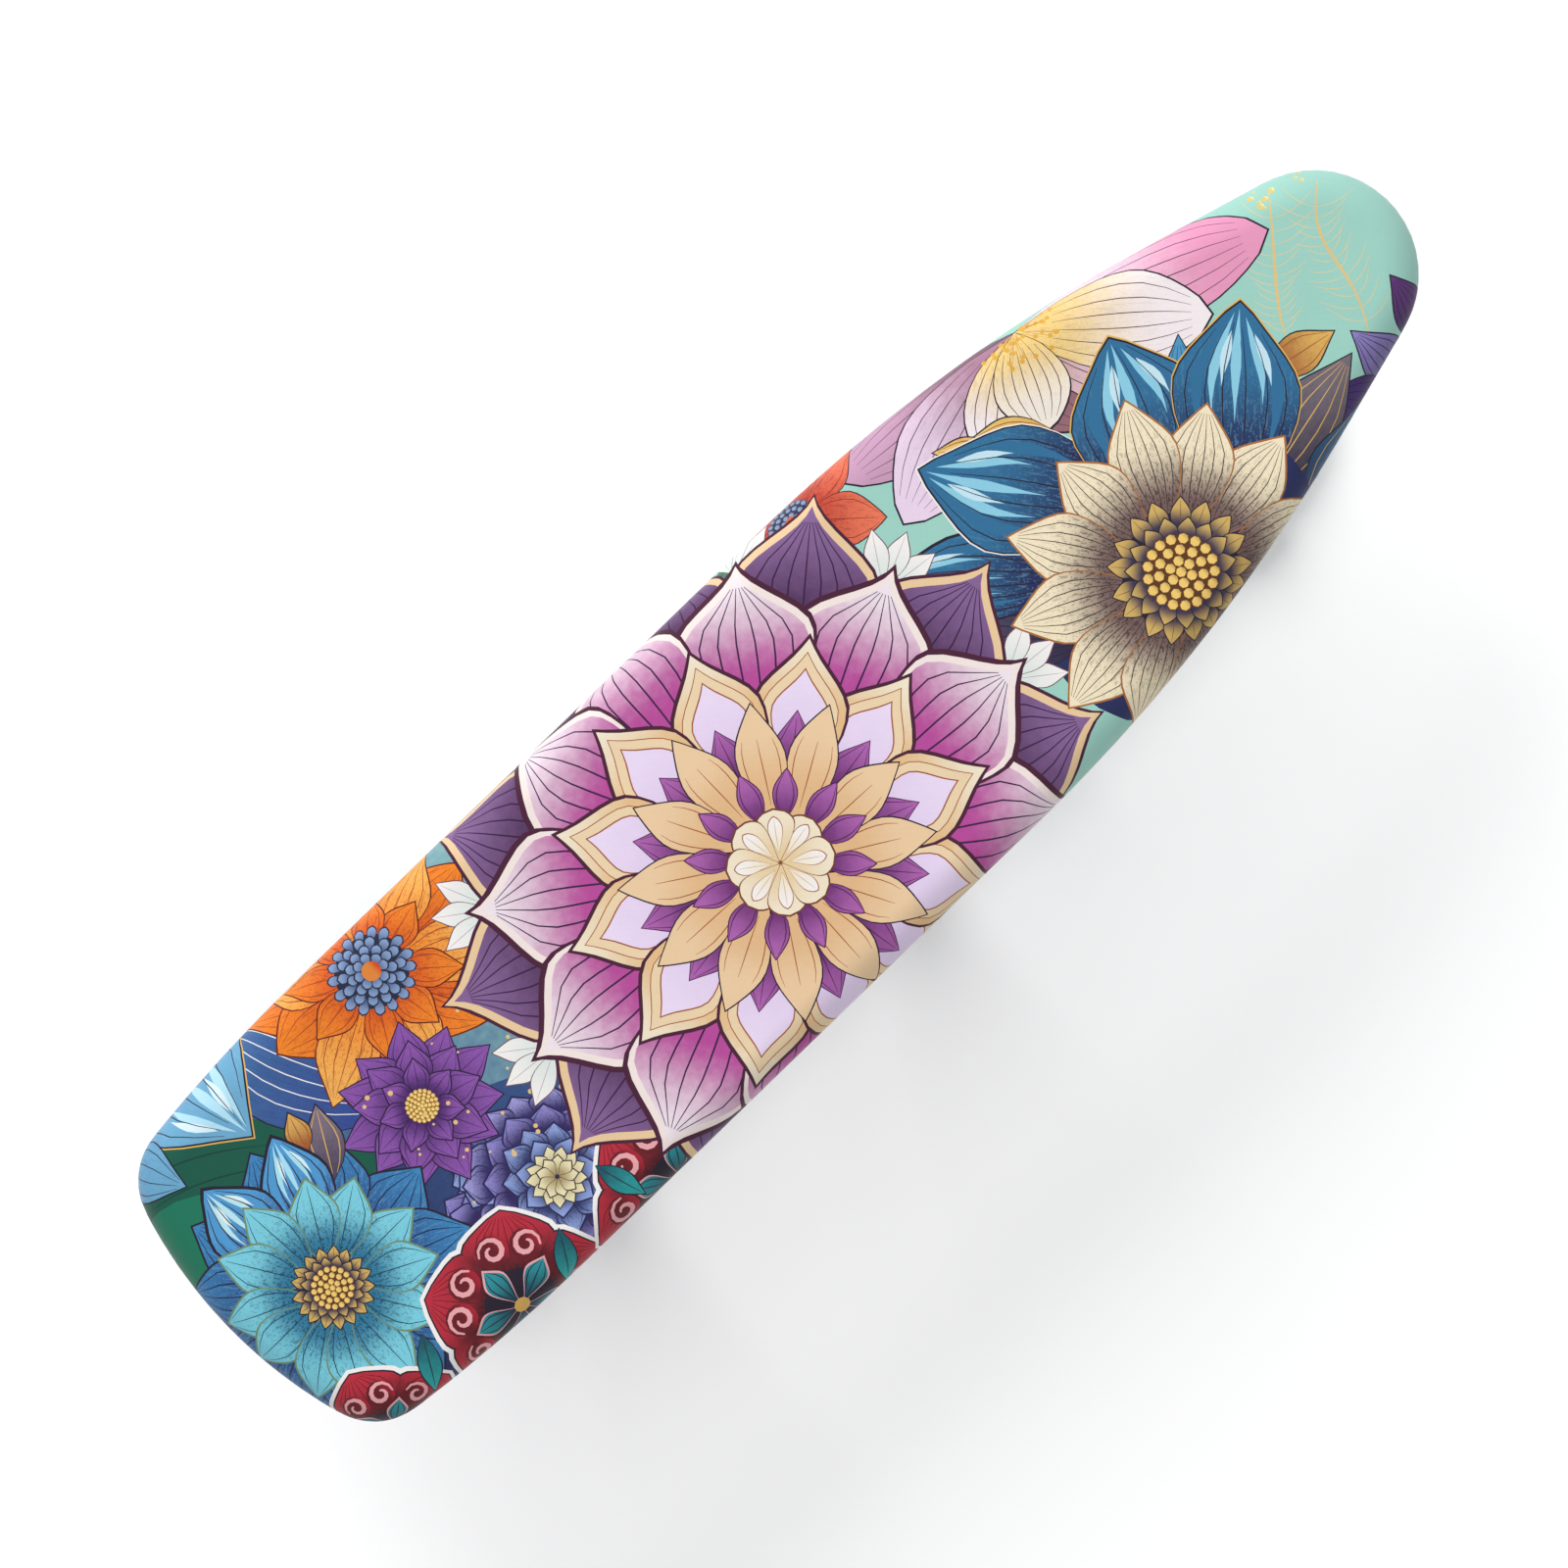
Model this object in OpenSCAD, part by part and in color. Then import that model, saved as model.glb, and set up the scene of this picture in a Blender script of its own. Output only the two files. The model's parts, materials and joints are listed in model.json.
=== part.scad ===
// Folding tabletop sleeve ironing board.
// A padded, fabric-covered steel top stands on a rod base, carried by two U-shaped
// links that keep it level while it folds down. +X points to the nose, +Z up, and
// the origin is on the table under the middle of the standing board.

/* [Board outline] */
// Length over the cover
board_len = 510; // [490:1:530]
// Width over the cover
board_w = 127; // [122:1:132]
// Radius of the nose
nose_r = 33; // [30:0.5:36]
// Angle of the tapered flanks to the centre line
taper = 15.5; // [14.5:0.5:17]
// Radius of the two tail corners
corner_r = 21.5; // [18:0.5:25]
// Radius of the bowed tail end
tail_bow_r = 154; // [140:1:180]
// Radius of the long curves that lead into nose and tail
flank_r = 565; // [520:5:600]
// Distance from the tail end to where the sides run straight
tail_flank_len = 92; // [80:1:100]

/* [Board layers] */
// Printed cotton cover
cover_t = 1; // [0.8:0.1:1.2]
// Foam pad under the cover
foam_t = 5; // [4:0.5:7]
// Wool felt under the foam
felt_t = 3; // [2:0.5:4]
// Perforated steel deck
deck_t = 1; // [0.8:0.1:1.2]
// Height of the flat steel bar welded round the deck's edge
rim_h = 7; // [6:0.5:7]
// How far the cover turns in under the board
lip_w = 20; // [18:1:22]
// Steam hole radius and spacing
hole_r = 3; // [2:0.5:3.5]
hole_pitch = 16; // [14:1:20]

/* [Stand] */
// Pivot to pivot length of the links
link_len = 98; // [92:1:106]
// Angle past upright at which the links rest on their stops
lean = 8; // [6:1:9]
// Rod diameter of the links
link_d = 8; // [7:0.5:8]
// Rod diameter of the base
base_d = 9; // [8:0.5:10]
// Height of the base pivots
pivot_z = 20; // [19.5:0.5:22]
// Half the distance between the base rails' centre lines
rail_y = 40; // [39:0.5:41]
// Base pivots of the rear and front links
rear_pivot_x = -140; // [-142:1:-136]
front_pivot_x = 0; // [-4:1:4]

/* [Hidden] */
$fn = 64;

eps = 0.01;                      // keeps cutting tools clear of the faces they cut
run_gap = 0.05;                  // radial running clearance of every pivot
side_gap = 0.2;                  // end play beside a pivot

// Outline: a chain of arcs that meet smoothly, tail end to nose
tail_c = [-board_len / 2 + tail_bow_r, 0];
tail_flank_c = [-board_len / 2 + tail_flank_len, board_w / 2 - flank_r];
nose_c = [board_len / 2 - nose_r, 0];
flank_drop = board_w / 2 - flank_r * (1 - cos(taper)) - nose_r * cos(taper);
front_flank_c = [nose_c[0] + (nose_r - flank_r) * sin(taper) - flank_drop / tan(taper),
                 board_w / 2 - flank_r];
min_corner_r = 6;

// Heights
link_r = link_d / 2;
base_r = base_d / 2;
rim_t = 3;
top_pivot_z = pivot_z + link_len * cos(lean);
deck_z = top_pivot_z + link_r + 2 * run_gap;     // underside of the deck
lip_z = deck_z - rim_h - cover_t;                // underside of the cover's lip
felt_z = deck_z + deck_t;
foam_z = felt_z + felt_t;
top_z = foam_z + foam_t + cover_t;
rail_z = 8;

// Base loop
base_rear_x = -210;
base_corner_r = 22;
base_nose_x = 172;
crossbar_r = 3.5;
rear_crossbar_x = -70;
front_crossbar_x = 60;
foot_len = 18;
foot_r = 7.5;
rear_foot_x = -186;
front_foot_x = 150;
bumper_r = 6.5;
bumper_skirt = 5;                // how far the buffers reach below the crossbar's middle
bumper_top_z = 25.2;

// Links and pivots
leg_y = 25;
bend_r = 7;
ear_y = 33;
ear_t = 3;
ear_back = -15;
ear_front = 12;
ear_foot_z = 5;
ear_shoulder_z = 9;
ear_neck = [-11, pivot_z + 2];
washer_t = ear_y - side_gap - leg_y - bend_r;
hub_y = ear_y + ear_t + side_gap;                // where the knob and the push nuts start
pivot_boss_r = 8;
tab_z = 27;
tab_h = 6;
tab_len = 12;
tab_t = 2.5;
tab_x = -6;
nut_r = 6;
nut_t = 2;
pin_end_y = 39;
knob_pin_end_y = 49;

// Knob
knob_hub_r = 6.5;
knob_head_y = 46;
knob_head_t = 11;
knob_r = 7;
knob_lobe_r = 2.6;
knob_lobes = 5;
insert_r = 5.2;
insert_end_y = 50;

// Saddles and stiffeners under the deck
saddle_half = 14;
saddle_t = 1.5;
flange_w = 13;
rivet_r = 2;
rivet_head_r = 3.6;
rivet_head_t = 1.4;
rivet_dy = 9;
spine_half = 12;
spine_depth = 6;
spine_flange = 5;
spine_t = 1;
strap_w = 12;
strap_t = 1.5;
strap_xs = [-215, -105, 170];

front_spine_end = 150;
rear_spine_start = -85;
spine_clearance = 4;             // between a spine's end and the front saddle's flange

// Bands along the deck's edge that have no steam holes
edge_margin = 14;
tail_margin = 22;
nose_margin = 20;
corner_margin = [10, 6];

// Hem
hem_w = 6;
hem_h = 3.4;
elastic_play = 0.5;

function top_pivot_x(base_x) = base_x - link_len * sin(lean);
saddle_xs = [top_pivot_x(rear_pivot_x), top_pivot_x(front_pivot_x)];

// Centre of the tail corner arc that touches both its neighbours at an inset
function corner_radius(inset) = max(corner_r - inset, min_corner_r);
function corner_centre(inset) =
    let (r = corner_radius(inset),
         r1 = tail_bow_r - inset - r,
         r2 = flank_r - inset - r,
         d = tail_flank_c - tail_c,
         dist = norm(d),
         u = d / dist,
         along = (r1 * r1 - r2 * r2 + dist * dist) / (2 * dist),
         across = sqrt(r1 * r1 - along * along))
    tail_c + along * u - across * [-u[1], u[0]];

function bearing(from, to) = atan2(to[1] - from[1], to[0] - from[0]);

// The arcs of the left half at an inset: [centre, radius, first angle, last angle]
function half_arcs(inset) =
    let (cc = corner_centre(inset),
         tail_to_corner = bearing(tail_c, cc),
         corner_to_flank = bearing(tail_flank_c, cc))
    [
        [tail_c, tail_bow_r - inset, 180, tail_to_corner],
        [cc, corner_radius(inset), tail_to_corner, corner_to_flank],
        [tail_flank_c, flank_r - inset, corner_to_flank, 90],
        [front_flank_c, flank_r - inset, 90, 90 - taper],
        [nose_c, nose_r - inset, 90 - taper, 0]
    ];

function polar(c, r, a) = c + r * [cos(a), sin(a)];
function arc_points(arc, steps) =
    [for (i = [0:steps]) polar(arc[0], arc[1], arc[2] + (arc[3] - arc[2]) * i / steps)];
arc_steps = [8, 9, 4, 9, 14];
function half_outline(inset) =
    let (arcs = half_arcs(inset))
    [for (k = [0:len(arcs) - 1]) each arc_points(arcs[k], arc_steps[k])];

// Distinct points of the whole outline, so that no edge has zero length
function outline(inset) =
    let (half = half_outline(inset),
         left = [for (i = [0:len(half) - 1]) if (i == 0 || norm(half[i] - half[i - 1]) > eps) half[i]],
         n = len(left))
    concat(left, [for (i = [n - 2:-1:1]) [left[i][0], -left[i][1]]]);

module slab(inset, z0, z1) {
    translate([0, 0, z0]) linear_extrude(z1 - z0) polygon(outline(inset));
}

module ring(outer, inner, z0, z1) {
    difference() {
        slab(outer, z0, z1);
        slab(inner, z0 - 1, z1 + 1);
    }
}

// Rods lying flat: an arc about a centre, or a straight run
module rod_arc(c, r, a0, a1, rod_r) {
    translate([c[0], c[1], 0]) rotate([0, 0, min(a0, a1)])
        rotate_extrude(angle = abs(a1 - a0)) translate([r, 0]) circle(rod_r);
}

module rod_line(p, q, rod_r) {
    translate([p[0], p[1], 0]) rotate([0, 0, bearing(p, q)]) rotate([0, 90, 0])
        cylinder(h = norm(q - p), r = rod_r);
}

module along_y(y0, y1, r) {
    translate([0, y0, 0]) rotate([-90, 0, 0]) cylinder(h = y1 - y0, r = r);
}

// ---- Base ----
module base_frame() {
    color("whitesmoke") translate([0, 0, rail_z]) {
        rail_start = base_rear_x + base_corner_r;
        for (side = [-1, 1]) {
            rod_line([rail_start, side * rail_y], [base_nose_x, side * rail_y], base_r);
            rod_arc([rail_start, side * (rail_y - base_corner_r)], base_corner_r,
                    side * 90, side * 180, base_r);
        }
        rod_line([base_rear_x, base_corner_r - rail_y], [base_rear_x, rail_y - base_corner_r], base_r);
        rod_arc([base_nose_x, 0], rail_y, -90, 90, base_r);
    }
}

module crossbar(x) {
    color("whitesmoke") difference() {
        translate([x, 0, rail_z]) along_y(-rail_y, rail_y, crossbar_r);
        rails();
    }
}

module rails() {
    for (side = [-1, 1])
        translate([base_rear_x, side * rail_y, rail_z]) rotate([0, 90, 0])
            cylinder(h = base_nose_x - base_rear_x, r = base_r);
}

// Bent sheet bracket: a pivot plate welded to the rail, with a stop tab behind the link's leg
module ear(pivot_x, side) {
    color("whitesmoke") difference() {
        translate([pivot_x, 0, 0]) {
            translate([0, side > 0 ? ear_y + ear_t : -ear_y, 0]) rotate([90, 0, 0])
                linear_extrude(ear_t) ear_profile();
            translate([tab_x - tab_t, side > 0 ? ear_y - tab_len : -ear_y, tab_z])
                cube([tab_t, tab_len, tab_h]);
        }
        translate([pivot_x, 0, pivot_z]) along_y(-rail_y, rail_y, link_r + run_gap);
        rails();
    }
}

module ear_profile() {
    translate([0, pivot_z]) circle(pivot_boss_r);
    polygon([[ear_back, ear_foot_z], [ear_front, ear_foot_z], [ear_front, ear_shoulder_z],
             [pivot_boss_r, pivot_z], [0, pivot_z], [tab_x, pivot_z], [tab_x, tab_z + tab_h],
             [tab_x - tab_t, tab_z + tab_h], ear_neck, [ear_back, ear_shoulder_z]]);
}

module foot(x, side) {
    color("dimgray") translate([x, side * rail_y, 0]) rotate([90, 0, 90]) linear_extrude(foot_len)
        difference() {
            union() {
                translate([0, rail_z]) circle(foot_r);
                translate([-foot_r, 0]) square([2 * foot_r, rail_z]);
            }
            translate([0, rail_z]) circle(base_r);
        }
}

module link_bumpers() {
    color("dimgray") difference() {
        for (side = [-1, 1])
            translate([front_crossbar_x, side * leg_y, rail_z - bumper_skirt])
                cylinder(h = bumper_top_z - rail_z + bumper_skirt, r = bumper_r);
        translate([front_crossbar_x, 0, rail_z]) along_y(-rail_y, rail_y, crossbar_r);
    }
}

// ---- Links ----
// One bent rod: crossbar at the top, two legs, and pins that turn outwards at the bottom
module link_rod(pivot_x, left_end_y) {
    color("whitesmoke") translate([pivot_x, 0, pivot_z]) rotate([0, -lean, 0]) {
        for (side = [-1, 1]) {
            leg = leg_y * side;
            pin_start = leg_y + bend_r;
            end_y = side > 0 ? left_end_y : pin_end_y;
            translate([0, leg, bend_r]) cylinder(h = link_len - 2 * bend_r, r = link_r);
            if (side > 0) along_y(pin_start, end_y, link_r);
            else along_y(-end_y, -pin_start, link_r);
            translate([0, side * pin_start, bend_r]) bend(side > 0 ? 180 : 270);
            translate([0, side * (leg_y - bend_r), link_len - bend_r]) bend(side > 0 ? 0 : 90);
        }
        translate([0, 0, link_len]) along_y(bend_r - leg_y, leg_y - bend_r, link_r);
    }
}

// A quarter bend in the YZ plane, from one angle on for 90 degrees
module bend(start) {
    rotate([90, 0, 90]) rotate([0, 0, start])
        rotate_extrude(angle = 90) translate([bend_r, 0]) circle(link_r);
}

module disc_on_pin(pivot_x, y0, thick, r) {
    translate([pivot_x, 0, pivot_z]) difference() {
        along_y(y0, y0 + thick, r);
        along_y(y0 - 1, y0 + thick + 1, link_r);
    }
}

module washers(pivot_x) {
    washer_y = leg_y + bend_r;
    color("ivory") {
        disc_on_pin(pivot_x, washer_y, washer_t, pivot_boss_r - 1);
        disc_on_pin(pivot_x, -washer_y - washer_t, washer_t, pivot_boss_r - 1);
    }
}

module push_nut(pivot_x, side) {
    color("silver") disc_on_pin(pivot_x, side > 0 ? hub_y : -hub_y - nut_t, nut_t, nut_r);
}

module lock_knob() {
    color("dimgray") translate([rear_pivot_x, 0, pivot_z]) difference() {
        union() {
            along_y(hub_y, knob_head_y, knob_hub_r);
            translate([0, knob_head_y + knob_head_t, 0]) rotate([90, 0, 0])
                linear_extrude(knob_head_t) knob_outline();
        }
        along_y(hub_y - 1, insert_end_y, insert_r);
    }
}

module knob_outline() {
    circle(knob_r);
    for (i = [0:knob_lobes - 1])
        rotate(i * 360 / knob_lobes + 90) translate([knob_r, 0]) circle(knob_lobe_r);
}

module knob_insert() {
    color("goldenrod") translate([rear_pivot_x, 0, pivot_z]) difference() {
        along_y(hub_y, insert_end_y, insert_r);
        along_y(hub_y - 1, insert_end_y + 1, link_r + run_gap);
    }
}

// ---- Board ----
module deck_plate() {
    color("silver") translate([0, 0, deck_z]) linear_extrude(deck_t) difference() {
        polygon(outline(cover_t));
        steam_holes();
        for (x = saddle_xs) rivet_places(x) circle(rivet_r);
    }
}

// Staggered steam holes, left out near the edge and where the saddles and spines are fixed
module steam_holes() {
    row_pitch = hole_pitch * sin(60);
    rows = floor(board_w / 2 / row_pitch);
    columns = ceil(board_len / 2 / hole_pitch);
    for (row = [-rows:rows], column = [-columns:columns]) {
        x = (column + (row % 2 == 0 ? 0 : 0.5)) * hole_pitch;
        y = row * row_pitch;
        if (inside_deck(x, y) && !near_saddle(x, y)) translate([x, y]) circle(hole_r);
    }
}

// Half width of the covered board at x, from where its sides run straight to the nose
function flank_y(x) =
    let (tip = nose_c[0] + nose_r * sin(taper),
         line = nose_r * cos(taper) + (tip - x) * tan(taper),
         arc = front_flank_c[1] + sqrt(flank_r * flank_r - pow(x - front_flank_c[0], 2)))
    x < front_flank_c[0] ? board_w / 2 : min(line, arc);
function inside_deck(x, y) =
    x > -board_len / 2 + tail_margin && x < board_len / 2 - nose_margin
    && abs(y) < flank_y(x) - edge_margin
    && (x > -board_len / 2 + corner_r + corner_margin[0]
        || abs(y) < board_w / 2 - corner_r - corner_margin[1]);
function near_saddle(x, y) =
    min([for (sx = saddle_xs) max(abs(x - sx) - flange_w, abs(y) - saddle_half)]) < hole_r + rivet_r;

module rim_bar() {
    color("silver") ring(cover_t, cover_t + rim_t, deck_z - rim_h, deck_z);
}

// Hat-section stiffener along the middle of the deck
module spine(x0, x1) {
    web_y = spine_half - spine_flange;
    inner_y = web_y - spine_t;
    color("silver") translate([x0, 0, deck_z]) rotate([90, 0, 90]) linear_extrude(x1 - x0)
        polygon([[-spine_half, 0], [-spine_half, -spine_t], [-web_y, -spine_t], [-web_y, -spine_depth],
                 [web_y, -spine_depth], [web_y, -spine_t], [spine_half, -spine_t], [spine_half, 0],
                 [inner_y, 0], [inner_y, spine_t - spine_depth],
                 [-inner_y, spine_t - spine_depth], [-inner_y, 0]]);
}

front_spine_x = [saddle_xs[1] + flange_w + spine_clearance, front_spine_end];
rear_spine_x = [rear_spine_start, saddle_xs[1] - flange_w - spine_clearance];

module cross_straps() {
    color("silver") intersection() {
        for (x = strap_xs) translate([x - strap_w / 2, -board_w / 2, deck_z - strap_t])
            cube([strap_w, board_w, strap_t]);
        slab(cover_t + rim_t, deck_z - 2 * strap_t, deck_z + strap_t);
    }
}

// Pressed strap that holds a link's crossbar up against the deck
module saddle(x) {
    strap_r = link_r + 2 * run_gap + saddle_t;
    color("silver") translate([x, 0, 0]) difference() {
        union() {
            translate([0, 0, top_pivot_z]) along_y(-saddle_half, saddle_half, strap_r);
            translate([-strap_r, -saddle_half, top_pivot_z])
                cube([2 * strap_r, 2 * saddle_half, deck_z - top_pivot_z]);
            translate([-flange_w, -saddle_half, deck_z - saddle_t])
                cube([2 * flange_w, 2 * saddle_half, saddle_t]);
        }
        translate([0, 0, top_pivot_z]) along_y(-saddle_half - 1, saddle_half + 1, strap_r - saddle_t);
        translate([saddle_t - strap_r, -saddle_half - 1, top_pivot_z])
            cube([2 * (strap_r - saddle_t), 2 * saddle_half + 2, strap_r + 1]);
        translate([-flange_w - 1, -saddle_half - 1, deck_z])
            cube([2 * flange_w + 2, 2 * saddle_half + 2, strap_r]);
        translate([0, 0, deck_z - 2 * saddle_t]) linear_extrude(3 * saddle_t)
            rivet_places(0) circle(rivet_r);
    }
}

module rivet_places(x) {
    dx = (flange_w + link_r + saddle_t) / 2;
    for (sx = [-1, 1], sy = [-1, 1])
        translate([x + sx * dx, sy * rivet_dy]) children();
}

module saddle_rivets() {
    color("gainsboro") for (x = saddle_xs) {
        translate([0, 0, deck_z - saddle_t]) linear_extrude(saddle_t + deck_t)
            rivet_places(x) circle(rivet_r);
        translate([0, 0, deck_z - saddle_t - rivet_head_t]) linear_extrude(rivet_head_t)
            rivet_places(x) circle(rivet_head_r);
    }
}

module felt_pad() {
    color("lightgray") slab(cover_t, felt_z, foam_z);
}

module foam_pad() {
    color("khaki") slab(cover_t, foam_z, top_z - cover_t);
}

module cover() {
    color("mediumorchid") difference() {
        slab(0, lip_z, top_z);
        slab(cover_t, lip_z + cover_t, top_z - cover_t);
        slab(lip_w, lip_z - 1, lip_z + cover_t + 1);
    }
}

// Folded hem at the lip's inner edge, open on its outer side where the elastic goes in
module hem_casing() {
    color("thistle") difference() {
        ring(lip_w, lip_w + hem_w, lip_z, lip_z + hem_h);
        ring(lip_w - 1, lip_w + hem_w - cover_t, lip_z + cover_t, lip_z + hem_h - cover_t);
    }
}

module elastic_band() {
    color("white")
        ring(lip_w + elastic_play, lip_w + hem_w - cover_t, lip_z + cover_t, lip_z + hem_h - cover_t);
}

base_frame();
crossbar(rear_crossbar_x);  // rear_crossbar
crossbar(front_crossbar_x);  // front_crossbar
ear(rear_pivot_x, 1);  // rear_left_ear
ear(rear_pivot_x, -1);  // rear_right_ear
ear(front_pivot_x, 1);  // front_left_ear
ear(front_pivot_x, -1);  // front_right_ear
foot(rear_foot_x, 1);  // rear_left_foot
foot(rear_foot_x, -1);  // rear_right_foot
foot(front_foot_x, 1);  // front_left_foot
foot(front_foot_x, -1);  // front_right_foot
link_bumpers();
link_rod(rear_pivot_x, knob_pin_end_y);  // rear_link_rod
washers(rear_pivot_x);  // rear_washers
push_nut(rear_pivot_x, -1);  // rear_push_nut
lock_knob();
knob_insert();
link_rod(front_pivot_x, pin_end_y);  // front_link_rod
washers(front_pivot_x);  // front_washers
union() {  // front_push_nuts
    push_nut(front_pivot_x, -1);
    push_nut(front_pivot_x, 1);
}
deck_plate();
rim_bar();
spine(front_spine_x[0], front_spine_x[1]);  // front_spine
spine(rear_spine_x[0], rear_spine_x[1]);  // rear_spine
cross_straps();
saddle(saddle_xs[0]);  // rear_saddle
saddle(saddle_xs[1]);  // front_saddle
saddle_rivets();
felt_pad();
foam_pad();
elastic_band();
hem_casing();
cover();
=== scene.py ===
"""Folding tabletop sleeve board with a printed cotton cover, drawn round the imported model.

Lengths are in metres where nothing else is said; the cover's profile and the print are laid out
in millimetres, with x towards the nose and y to the left, as in the model's own frame.
"""

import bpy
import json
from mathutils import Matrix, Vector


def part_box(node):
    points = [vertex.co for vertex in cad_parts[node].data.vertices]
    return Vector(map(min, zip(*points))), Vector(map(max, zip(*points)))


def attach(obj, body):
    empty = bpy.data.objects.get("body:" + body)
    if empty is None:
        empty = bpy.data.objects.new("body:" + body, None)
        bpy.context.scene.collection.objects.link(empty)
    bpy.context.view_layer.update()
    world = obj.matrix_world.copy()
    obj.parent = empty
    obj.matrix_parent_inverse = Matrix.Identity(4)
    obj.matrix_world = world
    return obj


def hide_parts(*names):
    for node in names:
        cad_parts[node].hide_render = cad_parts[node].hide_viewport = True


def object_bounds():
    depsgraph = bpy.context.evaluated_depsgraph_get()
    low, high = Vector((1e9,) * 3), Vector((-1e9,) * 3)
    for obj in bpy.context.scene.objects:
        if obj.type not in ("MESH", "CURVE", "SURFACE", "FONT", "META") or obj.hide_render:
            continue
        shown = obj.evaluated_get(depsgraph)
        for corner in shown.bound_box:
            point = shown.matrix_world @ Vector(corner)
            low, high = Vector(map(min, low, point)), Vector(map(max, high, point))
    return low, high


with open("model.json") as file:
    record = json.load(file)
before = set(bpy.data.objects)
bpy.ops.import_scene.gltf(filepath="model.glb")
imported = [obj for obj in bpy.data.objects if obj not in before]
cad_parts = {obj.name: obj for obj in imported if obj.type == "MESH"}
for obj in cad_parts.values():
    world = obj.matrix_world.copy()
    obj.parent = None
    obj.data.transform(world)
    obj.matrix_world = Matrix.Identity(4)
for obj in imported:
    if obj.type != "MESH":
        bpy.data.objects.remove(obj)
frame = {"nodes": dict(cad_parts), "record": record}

import copy
import json
import random
from math import atan2, cos, degrees, radians, sin, sqrt, tau

import bmesh
import bpy
import numpy as np
from mathutils import Matrix, Vector
from mathutils.geometry import convex_hull_2d, delaunay_2d_cdt

cad_box = [list(corner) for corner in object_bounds()]
MM = 0.001
scene = bpy.context.scene


# -------------------------------- colours

def linear(colour):
    """An sRGB colour from 0 to 1 as the linear one that shaders use."""
    return tuple(c / 12.92 if c <= 0.04045 else ((c + 0.055) / 1.055) ** 2.4 for c in colour)


def rgba(colour):
    return (*linear(colour), 1.0)


MINT = (0.62, 0.82, 0.77)
NAVY = (0.13, 0.16, 0.36)
INK = (0.12, 0.08, 0.16)
PLUM = (0.28, 0.08, 0.20)
TAN = (0.92, 0.79, 0.62)
CREAM = (0.95, 0.90, 0.80)
WHITE = (0.97, 0.95, 0.94)
MAGENTA = (0.72, 0.28, 0.60)
RUST = (0.63, 0.33, 0.16)
GOLD = (0.88, 0.70, 0.36)
SKY = (0.55, 0.80, 0.89)


# -------------------------------- outlines taken from the model

def node_points(node):
    mesh = frame["nodes"][node].data
    points = np.empty(len(mesh.vertices) * 3)
    mesh.vertices.foreach_get("co", points)
    return points.reshape(-1, 3) / MM


class Contour:
    """A smooth closed line round a node as seen from above, anticlockwise, in millimetres."""

    STEP = 1.2        # from point to point
    SMOOTH = 3        # points to each side that are averaged into one
    CHUNK = 4000      # points measured at once, to spare memory

    def __init__(self, line):
        self.line = line
        ahead = np.roll(line, -1, axis=0) - line
        self.lengths = np.linalg.norm(ahead, axis=1)
        self.along = np.concatenate([[0], np.cumsum(self.lengths)[:-1]])
        self.round = float(self.lengths.sum())
        tangent = np.roll(line, -1, axis=0) - np.roll(line, 1, axis=0)
        tangent /= np.linalg.norm(tangent, axis=1)[:, None]
        self.normal = np.stack([tangent[:, 1], -tangent[:, 0]], axis=1)

    @classmethod
    def around(cls, node):
        flat = sorted({(round(x, 3), round(y, 3)) for x, y, _ in node_points(node)})
        corners = np.array([flat[i] for i in convex_hull_2d([Vector(p) for p in flat])])
        if signed_area(corners) < 0:
            corners = corners[::-1]
        sides = np.linalg.norm(np.roll(corners, -1, axis=0) - corners, axis=1)
        at = np.concatenate([[0], np.cumsum(sides)])
        count = round(at[-1] / cls.STEP)
        want = np.arange(count) / count * at[-1]
        closed = np.vstack([corners, corners[:1]])
        line = np.stack([np.interp(want, at, closed[:, k]) for k in (0, 1)], axis=1)
        reach = range(-cls.SMOOTH, cls.SMOOTH + 1)
        return cls(sum(np.roll(line, k, axis=0) for k in reach) / len(reach))

    def outset(self, distance):
        """The points that lie that far outwards from the line."""
        return self.line + self.normal * distance

    def nearest(self, points):
        """(nearest point on the line, how far round it lies, distance to it) for each point."""
        parts = [self.nearest_few(points[first:first + self.CHUNK])
                 for first in range(0, max(len(points), 1), self.CHUNK)]
        return [np.concatenate(column) for column in zip(*parts)]

    def nearest_few(self, points):
        # The nearest point lies on one of the two sides that meet in the nearest corner
        corner = ((points[:, None, :] - self.line) ** 2).sum(axis=2).argmin(axis=1)
        start = np.stack([corner - 1, corner]) % len(self.line)
        a = self.line[start]
        side = self.line[(start + 1) % len(self.line)] - a
        t = (((points - a) * side).sum(axis=2) / (side ** 2).sum(axis=2)).clip(0, 1)
        foot = a + side * t[:, :, None]
        away = np.linalg.norm(points - foot, axis=2)
        best = away.argmin(axis=0), np.arange(len(points))
        place = self.along[start] + t * self.lengths[start]
        return foot[best], place[best], away[best]


def signed_area(corners):
    """The area inside a closed line, below zero where it runs clockwise."""
    x, y = corners.T
    return (x * np.roll(y, -1) - y * np.roll(x, -1)).sum() / 2


def inside(line, points):
    """Whether each point lies in the closed line."""
    found = np.zeros(len(points), bool)
    x, y = points.T
    for a, b in zip(line, np.roll(line, -1, axis=0)):
        crosses = (a[1] > y) != (b[1] > y)
        if crosses.any():
            at = a[0] + (y[crosses] - a[1]) * (b[0] - a[0]) / (b[1] - a[1])
            found[crosses] ^= x[crosses] < at
    return found


# -------------------------------- the printed pattern

rng = random.Random(11)


def ray(angle):
    """The unit vector at that angle, in radians."""
    return np.array([cos(angle), sin(angle)])


def darker(colour, share):
    return tuple(share * c for c in colour)


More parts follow.
